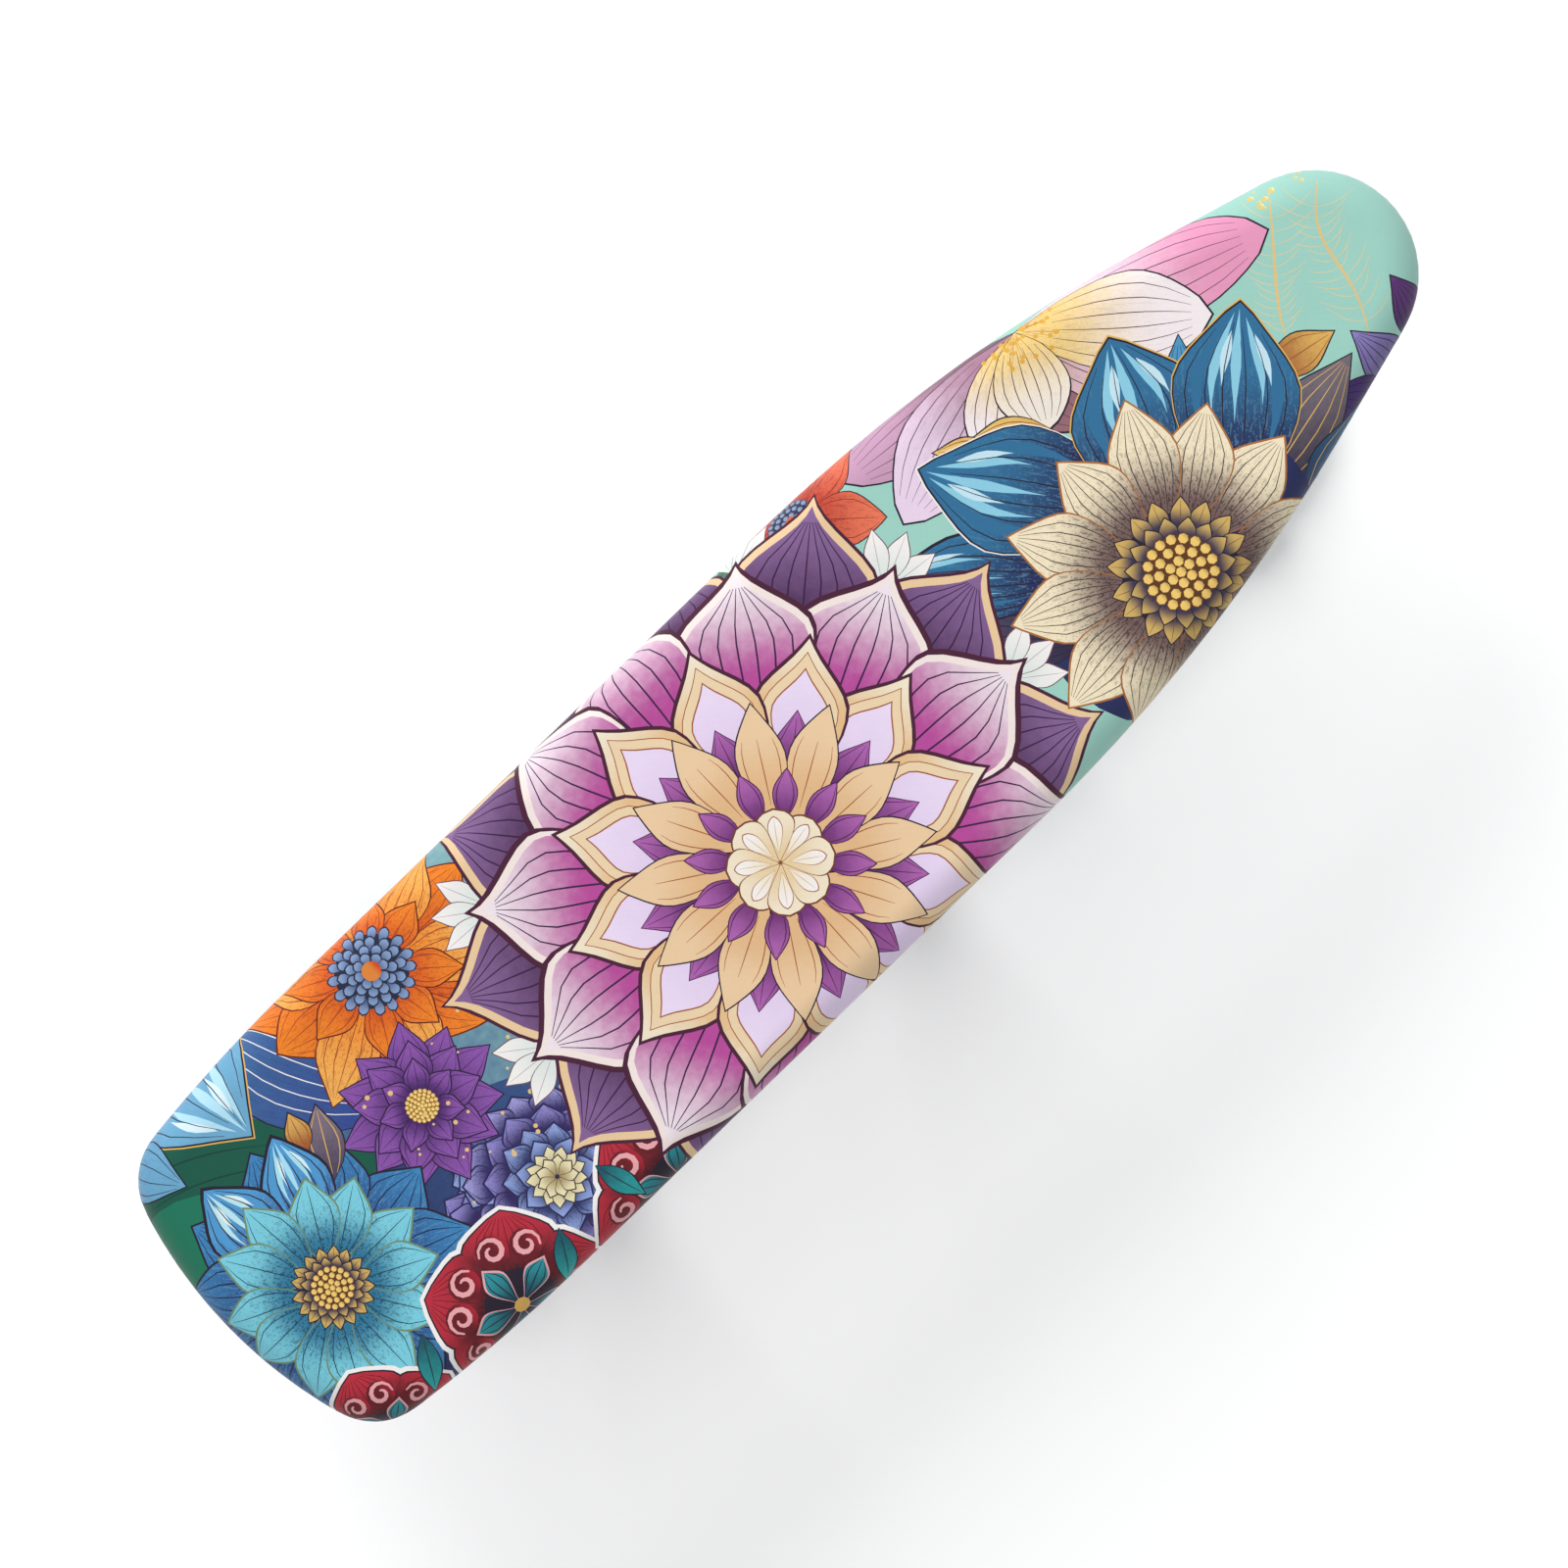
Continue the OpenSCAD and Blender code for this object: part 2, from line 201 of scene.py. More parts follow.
class Print:
    """Flat shapes on the cloth, each printed over the ones before it."""

    def __init__(self):
        self.shapes = []

    def shape(self, points, base, tip=None, start=(0, 0), end=(1, 0), strokes=0.0, ink=INK):
        """A filled outline that shades from base at start to tip at end, with pen strokes."""
        self.shapes.append({
            "points": np.asarray(points, float), "base": base, "tip": tip or base,
            "start": np.asarray(start, float), "end": np.asarray(end, float),
            "strokes": strokes, "ink": ink})

    def disc(self, at, radius, colour, edge=None, count=20):
        """A round spot, which may shade to the colour edge on the side towards the nose."""
        turn = rng.uniform(0, tau)
        angles = turn + np.arange(count) / count * tau
        points = at + radius * np.stack([np.cos(angles), np.sin(angles)], axis=1)
        self.shape(points, colour, edge, at, np.add(at, (radius, 0)))

    def line(self, points, width, colour):
        """A pen line through the points, as an outline that thins towards both ends."""
        points = np.asarray(points, float)
        tangent = np.gradient(points, axis=0)
        tangent /= np.linalg.norm(tangent, axis=1)[:, None] + 1e-9
        normal = np.stack([-tangent[:, 1], tangent[:, 0]], axis=1)
        half = width / 2 * (0.35 + 0.65 * np.sin(np.pi * np.linspace(0, 1, len(points))))
        sides = [points + normal * half[:, None], (points - normal * half[:, None])[::-1]]
        self.shape(np.vstack(sides), colour)


class Petal:
    """A petal or leaf: where it starts, its direction in degrees, its length and its width.

    belly moves its widest place towards the tip, a low point makes it fuller, hook draws the tip
    in and bend curves it sideways.
    """

    TIP_CROWDING = 0.65     # below 1 the outline's points crowd together towards the tip

    def __init__(self, at, angle, start, length, width, belly=1.2, point=0.8, hook=0.5, bend=0.0,
                 steps=11):
        self.axis = ray(radians(angle))
        self.across = np.array([-self.axis[1], self.axis[0]])
        self.root = at + self.axis * start
        self.length, self.width = length, width
        self.belly, self.point, self.hook, self.bend = belly, point, hook, bend
        self.steps = steps

    def half(self, t):
        """Half its width at t: full in the belly, then blunt or drawn in to a point by hook."""
        t = np.clip(t, 0, 1)
        widest = 0.5 ** (1 / self.belly)
        past = np.clip((t - widest) / (1 - widest), 0, 1)
        blunt = np.cos(np.pi / 2 * past) ** self.point
        pointed = 0.5 + 0.5 * np.cos(np.pi * past)
        full = np.sin(np.pi * np.minimum(t, widest) ** self.belly) ** self.point
        return self.width / 2 * full * (blunt + (pointed - blunt) * self.hook)

    def spot(self, t, side):
        """The point at t along the petal and side across it, from -1 to 1."""
        t = np.atleast_1d(np.asarray(t, float))
        across = side * self.half(t) + self.bend * self.length * np.sin(np.pi * t / 2) ** 2
        return self.root + np.outer(t * self.length, self.axis) + np.outer(across, self.across)

    def resized(self, length, width, shift):
        """The same petal with another length and width, its root moved along its axis."""
        other = copy.copy(self)
        other.length, other.width = length, width
        other.root = self.root + self.axis * shift
        return other

    def outline(self, grow=0.0):
        """The petal's edge, grown outwards by a pen's width and a little more at the tip."""
        grown = self.resized(self.length + 2.6 * grow, self.width + 2 * grow, -0.8 * grow)
        t = np.linspace(0, 1, self.steps + 1) ** self.TIP_CROWDING
        return np.vstack([grown.spot(t[:-1], 1), grown.spot(t[:0:-1], -1)])

    def inner(self, scale):
        """The same petal drawn smaller about its own middle, for borders and hearts."""
        return self.resized(self.length * scale, self.width * scale, self.length * ((1 - scale) * 0.5))


def leaf(root, tip, width, **shape):
    """A petal given by its two ends."""
    reach = np.subtract(tip, root)
    angle = degrees(atan2(reach[1], reach[0]))
    return Petal(root, angle, 0, float(np.hypot(*reach)), width, **shape)


def draw_petal(page, petal, base, tip, edge=None, pen=0.5, outer=None, rim=0.0, fade=(0.0, 1.0),
               veins=0, vein=INK, vein_pen=0.42, vein_reach=(0.08, 0.93), strokes=0.0, ink=INK):
    """One petal: an optional pen edge and coloured rim, its shaded face, and its veins."""
    if edge:
        page.shape(petal.outline(pen + rim), edge)
    if outer:
        page.shape(petal.outline(rim), outer)
    start, end = petal.spot(fade, 0)
    page.shape(petal.outline(), base, tip, start, end, strokes, ink)
    t = np.linspace(*vein_reach, max(petal.steps - 4, 2))
    for k in range(veins):
        side = 0 if veins == 1 else -0.74 + 1.48 * k / (veins - 1)
        page.line(petal.spot(t, side), vein_pen, vein)


def petal_ring(page, at, count, turn, start, length, width, base, tip, wobble=0.04, **look):
    """A ring of like petals. wobble is how unlike: a share of their length and of 60 degrees."""
    shape_keys = ("belly", "point", "hook", "bend", "steps")
    shape = {key: look.pop(key) for key in shape_keys if key in look}
    for k in range(count):
        angle = turn + 360 * k / count + rng.uniform(-1, 1) * wobble * 60
        size = 1 + rng.uniform(-1, 1) * wobble
        petal = Petal(at, angle, start, length * size, width, **shape)
        draw_petal(page, petal, base, tip, **look)


def seed_head(page, at, radius, rings, ground, light, dark, size):
    """A flower's middle: a ground disc packed with rounded grains."""
    page.disc(at, radius, ground, count=22)
    for ring in range(rings):
        far = radius * 0.92 * (rings - 1 - ring) / (rings - 1)
        count = max(1, round(tau * far / (size * 1.05)))
        for k in range(count):
            spot = at + far * ray(tau * (k + 0.5 * (ring % 2)) / count)
            page.disc(spot, size * 0.56, dark, count=7)
            page.disc(spot, size * 0.44, light, darker(light, 0.8), count=7)


def curve(*points, count=12):
    """A smooth line through a few points."""
    points = np.asarray(points, float)
    t = np.linspace(0, 1, len(points))
    want = np.linspace(0, 1, count)
    fit = [np.polyval(np.polyfit(t, points[:, k], len(points) - 1), want) for k in (0, 1)]
    return np.stack(fit, axis=1)


def mandala(page, at):
    """The big layered bloom in the middle of the board, drawn from its outer ring inwards."""
    step, turn = 30, 10
    between = turn + step / 2
    page.disc(at, 84, PLUM, count=40)
    big = {"edge": PLUM, "vein": (0.20, 0.07, 0.25), "vein_pen": 0.62, "point": 0.6, "hook": 0.9,
           "steps": 15}
    petal_ring(page, at, 12, turn, 38, 72, 42, (0.27, 0.11, 0.30), (0.52, 0.38, 0.58), pen=0.8,
               outer=TAN, rim=1.8, fade=(0.45, 0.95), veins=7, belly=1.6, **big)
    petal_ring(page, at, 12, between, 24, 70, 40, MAGENTA, (0.95, 0.90, 0.93), pen=1.3,
               outer=(0.96, 0.90, 0.88), rim=1.6, fade=(0.48, 1.0), veins=6, belly=1.75, **big)
    for k in range(12):
        petal = Petal(at, turn + step * k + rng.uniform(-2, 2), 20, 51, 29, 1.2, 0.7, 0.7)
        draw_petal(page, petal, (0.90, 0.74, 0.54), CREAM, edge=PLUM, pen=1.0, fade=(0.5, 1.0))
        for scale, colour in ((0.84, RUST), (0.82, (0.93, 0.83, 0.68)), (0.64, RUST)):
            page.shape(petal.inner(scale).outline(), colour)
        heart = petal.inner(0.61)
        page.shape(heart.outline(), (0.88, 0.80, 0.93), (0.93, 0.86, 0.96), *heart.spot((0, 1), 0))
    royal, orchid, shadow = (0.40, 0.14, 0.42), (0.68, 0.38, 0.68), (0.28, 0.07, 0.28)
    small = {"belly": 1.1, "edge": shadow, "vein": shadow, "vein_pen": 0.35}
    petal_ring(page, at, 12, turn, 20, 27, 13, royal, orchid, pen=0.3, fade=(0.3, 1.0), veins=3,
               **small)
    petal_ring(page, at, 12, between, 10, 40, 15.5, (0.89, 0.72, 0.53), (0.93, 0.80, 0.64),
               belly=1.25, edge=INK, pen=0.4, fade=(0.3, 0.8), veins=3, vein=RUST, vein_pen=0.35,
               vein_reach=(0.2, 0.72), bend=0.05, hook=0.35)
    petal_ring(page, at, 12, turn + 3, 13, 17, 7.5, royal, orchid, pen=0.35, veins=2, hook=0.3,
               **small)
    page.disc(at, 13, RUST, count=28)
    petal_ring(page, at, 8, turn, 0.5, 16.5, 12, (0.91, 0.80, 0.62), CREAM, belly=2.0, point=0.5,
               hook=0.0, edge=(0.45, 0.22, 0.12), pen=0.35, wobble=0.02)
    petal_ring(page, at, 8, turn, 3, 11.5, 4.4, CREAM, WHITE, belly=1.7, point=0.6, hook=0.0,
               edge=RUST, pen=0.22, veins=1, vein=(0.80, 0.62, 0.42), vein_pen=0.2, wobble=0.0)


def daisy(page, at, radius, count, turn, width, base, tip, edge, veins, middle):
    """A single-ringed flower with a fringe of small petals round its seed head."""
    page.disc(at, radius * 0.62, NAVY, count=26)
    petal_ring(page, at, count, turn, middle * 0.55, radius - middle * 0.55, width, base, tip,
               belly=1.25, point=0.75, hook=0.45, edge=edge, fade=(0.2, 0.72), veins=veins,
               vein=darker(base, 0.5), vein_pen=0.34, strokes=1.0, ink=darker(base, 0.3),
               wobble=0.07)
    page.disc(at, middle * 0.82, INK, count=24)
    dusk, straw = (0.22, 0.18, 0.30), (0.82, 0.68, 0.38)
    fringe = {"belly": 1.3, "hook": 0.3, "edge": INK, "pen": 0.3}
    petal_ring(page, at, 17, turn, middle * 0.45, middle * 0.55, middle * 0.27, dusk, straw,
               fade=(0.35, 0.85), veins=1, vein=(0.42, 0.30, 0.24), vein_pen=0.25, **fringe)
    petal_ring(page, at, 15, turn + 9, middle * 0.3, middle * 0.46, middle * 0.25, dusk, straw,
               fade=(0.45, 1.0), **fringe)
    seed_head(page, at, middle * 0.5, 4, (0.36, 0.20, 0.08), (0.96, 0.80, 0.44), (0.38, 0.22, 0.08),
              middle * 0.165)


def drop_leaf(page, petal, deep, mid, light, edge=INK):
    """A broad brushed leaf behind a flower: tones of one hue, pen veins and a few highlights."""
    page.shape(petal.outline(0.8), edge)
    page.shape(petal.outline(0.45), INK)
    page.shape(petal.outline(), deep, mid, *petal.spot((0.2, 0.75), 0), 0.3, light)
    pale = tuple(0.5 * (a + 1) for a in light)
    for side, first, last, tone in ((0.64, 0.25, 0.92, mid), (-0.66, 0.2, 0.88, mid),
                                    (0.4, 0.42, 0.95, light), (-0.42, 0.5, 0.93, light),
                                    (0.02, 0.4, 0.97, light), (-0.18, 0.6, 0.9, mid),
                                    (0.24, 0.58, 0.86, pale), (-0.56, 0.6, 0.85, pale)):
        t = np.linspace(first, last, 7)
        brush = 0.11 * np.sin(np.pi * np.linspace(0, 1, 7) ** 1.6)
        page.shape(np.vstack([petal.spot(t, side + brush), petal.spot(t, side - brush)[::-1]]), tone)
    for side in (-0.8, -0.5, -0.15, 0.22, 0.5, 0.82):
        reach = rng.uniform(0.82, 0.95)
        page.line(petal.spot(np.linspace(0.1, reach, 8), side), 0.42, INK)


def scroll(page, at, size, turn, hand, width, colour):
    """A pen line that winds in on itself."""
    t = np.linspace(0, 1, 15)
    angle = radians(turn) + hand * 1.25 * tau * t
    reach = size * (1 - 0.72 * t)
    spots = np.asarray(at) + reach[:, None] * np.stack([np.cos(angle), np.sin(angle)], axis=1)
    page.line(spots, width, colour)


def medallion(page, at, turn, size):
    """A crimson bloom with a white edge, paired scrolls and teal drops."""
    look = {"belly": 1.7, "point": 0.6, "hook": 0.4, "wobble": 0.0}
    for grow, colour in ((1.8, WHITE), (0.5, INK)):
        petal_ring(page, at, 5, turn, 0, size + grow, size * 0.95 + 2 * grow, colour, colour, **look)
    wine, rose = (0.40, 0.05, 0.10), (0.92, 0.66, 0.68)
    petal_ring(page, at, 5, turn, 0, size, size * 0.95, (0.24, 0.03, 0.07), (0.74, 0.15, 0.23),
               veins=9, vein=wine, strokes=0.5, fade=(0.3, 0.9), **look)
    for k in range(5):
        for hand in (-1, 1):
            angle = radians(turn + 72 * k + 16 * hand)
            heart = at + 0.64 * size * ray(angle)
            page.disc(heart, size * 0.17, wine, (0.66, 0.10, 0.18), count=14)
            scroll(page, heart, size * 0.15, degrees(angle) + 90 * hand, -hand, size * 0.055,
                   rose)
    page.disc(at, size * 0.40, INK, count=18)
    petal_ring(page, at, 5, turn + 36, 1, size * 0.5, size * 0.24, (0.05, 0.25, 0.32),
               (0.15, 0.58, 0.62), belly=1.6, edge=rose, veins=3, wobble=0.0)
    page.disc(at, size * 0.09, GOLD, count=10)


def lotus(page, at):
    """Broad pale petals that spread from a gold heart on the board's upper edge."""
    milk, butter = (0.96, 0.92, 0.93), (0.93, 0.80, 0.50)
    petals = [  # direction, length, width, colour at the heart, colour at the tip
        (-23, 86, 33, (0.95, 0.88, 0.93), (0.91, 0.60, 0.74)),
        (178, 72, 30, (0.48, 0.33, 0.40), (0.78, 0.60, 0.72)),
        (-163, 70, 30, (0.66, 0.48, 0.58), (0.92, 0.83, 0.92)),
        (-92, 40, 34, (0.36, 0.22, 0.26), (0.58, 0.40, 0.44)),
        (-62, 52, 27, (0.75, 0.60, 0.55), (0.93, 0.80, 0.88)),
        (-140, 46, 24, butter, milk),
        (-40, 63, 32, butter, milk),
        (-115, 34, 24, butter, (0.95, 0.91, 0.86)),
    ]
    for direction, length, width, base, tip in petals:
        petal = Petal(at, direction, 0, length, width, 1.3, 0.6, 0.15)
        draw_petal(page, petal, base, tip, edge=INK, pen=0.45, fade=(0.15, 0.8), veins=6,
                   vein_pen=0.32, vein=(0.30, 0.18, 0.22), vein_reach=(0.2, 0.9), strokes=0.3,
                   ink=(0.60, 0.46, 0.42))
    for _ in range(34):
        angle, far = radians(rng.uniform(-178, -2)), rng.uniform(2, 15)
        spot = at + far * ray(angle)
        page.line([at + 0.3 * (spot - at), spot], 0.3, RUST)
        page.disc(spot, 0.85, (0.86, 0.66, 0.24), count=7)


def leaf_lines(page):
    """Fine gold skeleton leaves and flecks on the plain ground at the nose."""
    stems = [((243, 21), (231, 7), (228, -7), (220, -26)), ((230, 30), (216, 13), (207, 2), (201, -8))]
    for stem in stems:
        spine = curve(*stem, count=16)
        page.line(spine, 1.0, (0.89, 0.76, 0.50))
        for k in range(2, 15):
            for side in (-1, 1):
                tangent = spine[k] - spine[k - 1]
                across = np.array([-tangent[1], tangent[0]]) * side
                reach = rng.uniform(2.0, 3.6)
                end = spine[k] + across * reach - tangent * 1.6
                mid = spine[k] + across * reach * 0.5 - tangent * 0.4
                page.line(curve(spine[k], mid, end, count=5), 0.3, (0.87, 0.80, 0.60))
    for _ in range(15):
        page.disc((rng.uniform(222, 244), rng.uniform(22, 38)), rng.uniform(0.5, 1.3),
                  (0.86, 0.78, 0.48), (0.95, 0.90, 0.68), count=7)


def small_leaf(page, root, tip, width, base, end, vein=INK, veins=3, steps=11):
    petal = leaf(root, tip, width, belly=1.0, steps=steps)
    draw_petal(page, petal, base, end, edge=INK, pen=0.45, veins=veins, vein=vein, vein_pen=0.35,
               strokes=0.3)


def white_sprigs(page, at):
    """Small white leaves in threes, in the gaps between the big bloom's outer petals."""
    for direction in (-5, 25, 55, 145, 175):
        root = at + 91 * ray(radians(direction))
        for spread in (-32, 0, 32):
            petal = Petal(root, direction + spread, 2, 18, 7.5)
            draw_petal(page, petal, (0.86, 0.90, 0.88), WHITE, edge=(0.45, 0.30, 0.35), pen=0.3,
                       veins=1, vein=(0.70, 0.66, 0.68), vein_pen=0.25)


def nose_leaves(page):
    """Violet, grey and gold leaves at the right-hand edge, near the nose."""
    violets = [((222, -54), (217, -21), 17, (0.55, 0.50, 0.75)),
               ((236, -46), (238, -17), 15, (0.38, 0.20, 0.48)),
               ((214, -54), (197, -29), 17, (0.27, 0.14, 0.45))]
    for root, tip, width, colour in violets:
        small_leaf(page, root, tip, width, (0.18, 0.10, 0.32), colour, veins=5)
    small_leaf(page, (188, -12), (213, -17), 13, RUST, GOLD, RUST)
    small_leaf(page, (160, -38), (212, -26), 24, (0.20, 0.17, 0.27), (0.46, 0.42, 0.46), GOLD, 5)
    small_leaf(page, (166, -62), (204, -42), 24, NAVY, (0.16, 0.38, 0.52), GOLD)


def blue_leaves(page, at):
    """The brushed blue leaves that fan out behind the ivory daisy."""
    page.disc(at, 50, NAVY, count=28)
    deep, mid = (0.10, 0.14, 0.34), (0.17, 0.43, 0.60)
    small_leaf(page, (128, 22), (106, 38), 12, GOLD, (0.93, 0.78, 0.45), RUST)
    small_leaf(page, (112, 30), (96, 43), 8, GOLD, (0.93, 0.78, 0.45), RUST)
    small_leaf(page, (150, -16), (177, 16), 17, deep, (0.30, 0.60, 0.78), veins=4)
    small_leaf(page, (92, -34), (60, 2), 24, (0.16, 0.13, 0.26), (0.30, 0.27, 0.38), veins=6)
    drop_leaf(page, leaf((104, -18), (56, 23), 27, bend=-0.04), deep, mid, SKY)
    drop_leaf(page, leaf((128, -14), (94, 45), 41, bend=0.08, point=0.6), deep, mid, SKY, WHITE)
    drop_leaf(page, leaf((138, -22), (159, 31), 43, bend=-0.03, point=0.6), deep, mid, SKY, GOLD)
    drop_leaf(page, leaf((152, -34), (200, 8), 40, bend=0.04, point=0.6), deep, mid, SKY, GOLD)


def red_flower(page, at):
    for root, tip in (((46, 64), (8, 55)), ((46, 60), (20, 42))):
        small_leaf(page, root, tip, 15, (0.10, 0.32, 0.26), (0.36, 0.56, 0.46))
    petal_ring(page, at, 8, 10, 2, 26, 17, (0.72, 0.20, 0.13), (0.93, 0.47, 0.34), edge=INK,
               pen=0.3, veins=3, vein=(0.60, 0.16, 0.10), vein_pen=0.3, strokes=0.7,
               ink=(0.45, 0.10, 0.08), hook=0.3, wobble=0.12)
    seed_head(page, at, 8, 4, (0.16, 0.18, 0.25), (0.52, 0.60, 0.72), NAVY, 2.2)
    page.disc(at, 2, (0.80, 0.36, 0.20), count=9)


def orange_flower(page, at):
    flame, amber, honey = (0.82, 0.26, 0.05), (0.95, 0.52, 0.12), (0.96, 0.70, 0.34)
    pen = {"edge": (0.40, 0.12, 0.04), "pen": 0.4, "vein": (0.60, 0.20, 0.06), "vein_pen": 0.3,
           "strokes": 0.8, "ink": (0.45, 0.14, 0.05)}
    petal_ring(page, at, 10, 4, 6, 37, 23, flame, amber, wobble=0.12, veins=5, hook=0.25, **pen)
    petal_ring(page, at, 6, 26, 6, 35, 20, amber, honey, wobble=0.14, veins=5, **pen)
    petal_ring(page, at, 8, 10, 5, 22, 12, flame, amber, wobble=0.12, veins=3, **pen)
    night = (0.12, 0.14, 0.24)
    page.disc(at, 12, night, count=24)
    for count, start, length in ((17, 8.5, 5.6), (14, 6, 5), (11, 3.6, 4.6), (8, 1.5, 4.2)):
        petal_ring(page, at, count, count * 9, start, length, 3.0, (0.26, 0.33, 0.50),
                   (0.52, 0.62, 0.78), belly=1.8, point=0.55, hook=0.0, edge=night, pen=0.3, steps=6)
    page.disc(at, 3.2, (0.88, 0.52, 0.20), flame, count=12)


def purple_flower(page, at):
    for count, turn, length, width in ((11, 0, 25, 13), (9, 20, 19, 11.5), (7, 8, 12.5, 8)):
        petal_ring(page, at, count, turn, 1.5, length, width, (0.26, 0.10, 0.38),
                   (0.54, 0.32, 0.66), edge=(0.13, 0.04, 0.20), pen=0.35, veins=3,
                   vein=(0.22, 0.07, 0.32), vein_pen=0.28, strokes=0.5, ink=(0.14, 0.05, 0.22),
                   fade=(0.2, 0.9), wobble=0.08)
    seed_head(page, at, 5.2, 5, (0.60, 0.38, 0.14), (0.97, 0.84, 0.50), (0.62, 0.42, 0.14), 1.4)


def gold_flecks(page):
    for _ in range(38):
        spot = (rng.uniform(-186, -112), rng.uniform(-30, 22))
        page.disc(spot, rng.uniform(0.4, 0.9), (0.90, 0.76, 0.50), count=6)


def violet_cluster(page, at):
    """A dome of small blue-violet petals round a cream heart, fuller on its left."""
    ink = (0.14, 0.12, 0.32)
    tones = [((0.17, 0.12, 0.36), (0.56, 0.53, 0.80)), ((0.12, 0.16, 0.38), (0.56, 0.64, 0.86)),
             ((0.17, 0.14, 0.40), (0.64, 0.62, 0.86))]
    crowns = [((-26, 3), 13, 15, 12), ((-12, 17), 11, 14, 11), ((0, 0), 15, 29, 12),
              ((0, 0), 13, 23, 11.5), ((0, 0), 11, 17, 9.5)]
    for k, (shift, count, reach, width) in enumerate(crowns):
        middle, tone = np.add(at, shift), tones[k % 3]
        petal_ring(page, middle, count, 37 * k, reach - 13, 13.5, width, *tone, belly=1.35,
                   edge=ink, pen=0.45, veins=2, vein=ink, vein_pen=0.3, strokes=0.7, ink=ink,
                   fade=(0.35, 1.0), wobble=0.08)
        petal_ring(page, middle, max(count - 4, 6), 20 * k, 2, 11, width * 0.8, *tone, belly=1.35,
                   edge=ink, pen=0.4, fade=(0.3, 1.0))
    page.disc(at, 7.5, ink, count=18)
    for count, start, length in ((13, 2, 7.6), (9, 0.6, 6)):
        petal_ring(page, at, count, count * 5, start, length, 3.9, (0.66, 0.58, 0.40),
                   (0.93, 0.89, 0.72), belly=1.4, edge=(0.20, 0.16, 0.18), pen=0.3, steps=7)


def tail_leaves(page):
    """The leaves and dark ground behind the flowers at the tail."""
    page.shape([(-300, -70), (-255, -110), (-60, -110), (-80, -30), (-175, 12), (-300, 24)],
               (0.10, 0.12, 0.32), (0.20, 0.32, 0.52), (-260, 0), (-100, 0), 0.4, (0.08, 0.1, 0.3))
    page.shape(leaf((-180, 4), (-280, 50), 62).outline(), (0.03, 0.34, 0.27))
    page.shape(leaf((-200, -4), (-280, 40), 40).outline(), (0.06, 0.46, 0.35))
    for reach in (-3, 6):
        rib = curve((-205, 26 + reach), (-226, 40 + reach), (-246, 46 + reach))
        page.line(rib, 0.6, (0.02, 0.25, 0.2))
    sea = (0.24, 0.42, 0.62)
    small_leaf(page, (-158, 8), (-196, 88), 52, (0.18, 0.26, 0.56), sea, WHITE, 9, steps=17)
    small_leaf(page, (-150, 6), (-166, 84), 34, sea, (0.34, 0.56, 0.66), WHITE, 7, steps=17)
    ice = (0.42, 0.66, 0.80)
    drop_leaf(page, leaf((-217, 100), (-207, 38), 44), (0.30, 0.50, 0.70), ice, (0.70, 0.88, 0.95),
              GOLD)
    small_leaf(page, (-250, 70), (-233, 41), 22, (0.36, 0.60, 0.76), ice, veins=4)


def floral_print():
    """The whole pattern, from the ground up. Places are board places in millimetres."""
    page = Print()
    bloom, ivory, reef = (-28, -16), (126, -38), (-222, -14)

    leaf_lines(page)
    lotus(page, (141, 54))
    nose_leaves(page)
    blue_leaves(page, ivory)
    red_flower(page, (49, 59))

    tail_leaves(page)
    violet_cluster(page, (-147, -38))
    orange_flower(page, (-144, 49))
    purple_flower(page, (-162, 7.5))
    gold_flecks(page)

    petal_ring(page, reef, 11, 12, 14, 34, 24, (0.09, 0.14, 0.42), (0.22, 0.50, 0.72), edge=INK,
               veins=5, vein=(0.06, 0.08, 0.26), strokes=0.6, ink=(0.45, 0.72, 0.86))
    small_leaf(page, (-198, 10), (-186, 31), 12, (0.30, 0.26, 0.36), (0.50, 0.44, 0.50), GOLD)
    small_leaf(page, (-198, 22), (-194, 35), 8, RUST, GOLD, RUST)
    deep, mid = (0.10, 0.20, 0.50), (0.30, 0.60, 0.82)
    drop_leaf(page, leaf((-214, -4), (-203, 33), 22, point=0.6), deep, mid, (0.66, 0.88, 0.95))
    drop_leaf(page, leaf((-226, -2), (-230, 36), 24, point=0.6), deep, mid, (0.74, 0.91, 0.94))
    daisy(page, reef, 36, 12, 3, 15.5, (0.16, 0.46, 0.60), (0.48, 0.81, 0.88), (0.45, 0.55, 0.40),
          3, 13)

    for at, turn, size in (((-183, -60), 60, 31), ((-120, -70), 100, 33), ((-242, -64), 80, 27)):
        medallion(page, at, turn, size)
    for root, tip in (((-158, -50), (-168, -68)), ((-212, -44), (-222, -62)),
                      ((-136, -44), (-131, -62))):
        small_leaf(page, root, tip, 7, (0.04, 0.32, 0.38), (0.16, 0.68, 0.68), veins=1)

    white_sprigs(page, bloom)
    mandala(page, bloom)
    daisy(page, ivory, 54, 12, 6, 22, (0.45, 0.35, 0.34), (0.96, 0.90, 0.77), (0.66, 0.42, 0.20),
          6, 23)
    return page.shapes


# -------------------------------- the cover

def box_mm(node):
    return [np.array(corner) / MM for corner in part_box(node)]


cover_low, cover_high = box_mm("cover")
top_z, lip_z = cover_high[2], cover_low[2]
edge_line = Contour.around("cover")
hem_line = Contour(Contour.around("hem_casing").outset(-3))
CROWN = 12            # how far in from the edge the top starts to round over
EDGE_DROP = 10        # and how far down the rounding reaches
TUCK_R = 2.2          # bend at the bottom of the side
HEM_INSET = 11        # from the crown line in to the middle of the hem
BEND_POINTS = 22      # points over the rounding, and again round the bend under it
crown_line = Contour(edge_line.outset(-CROWN))


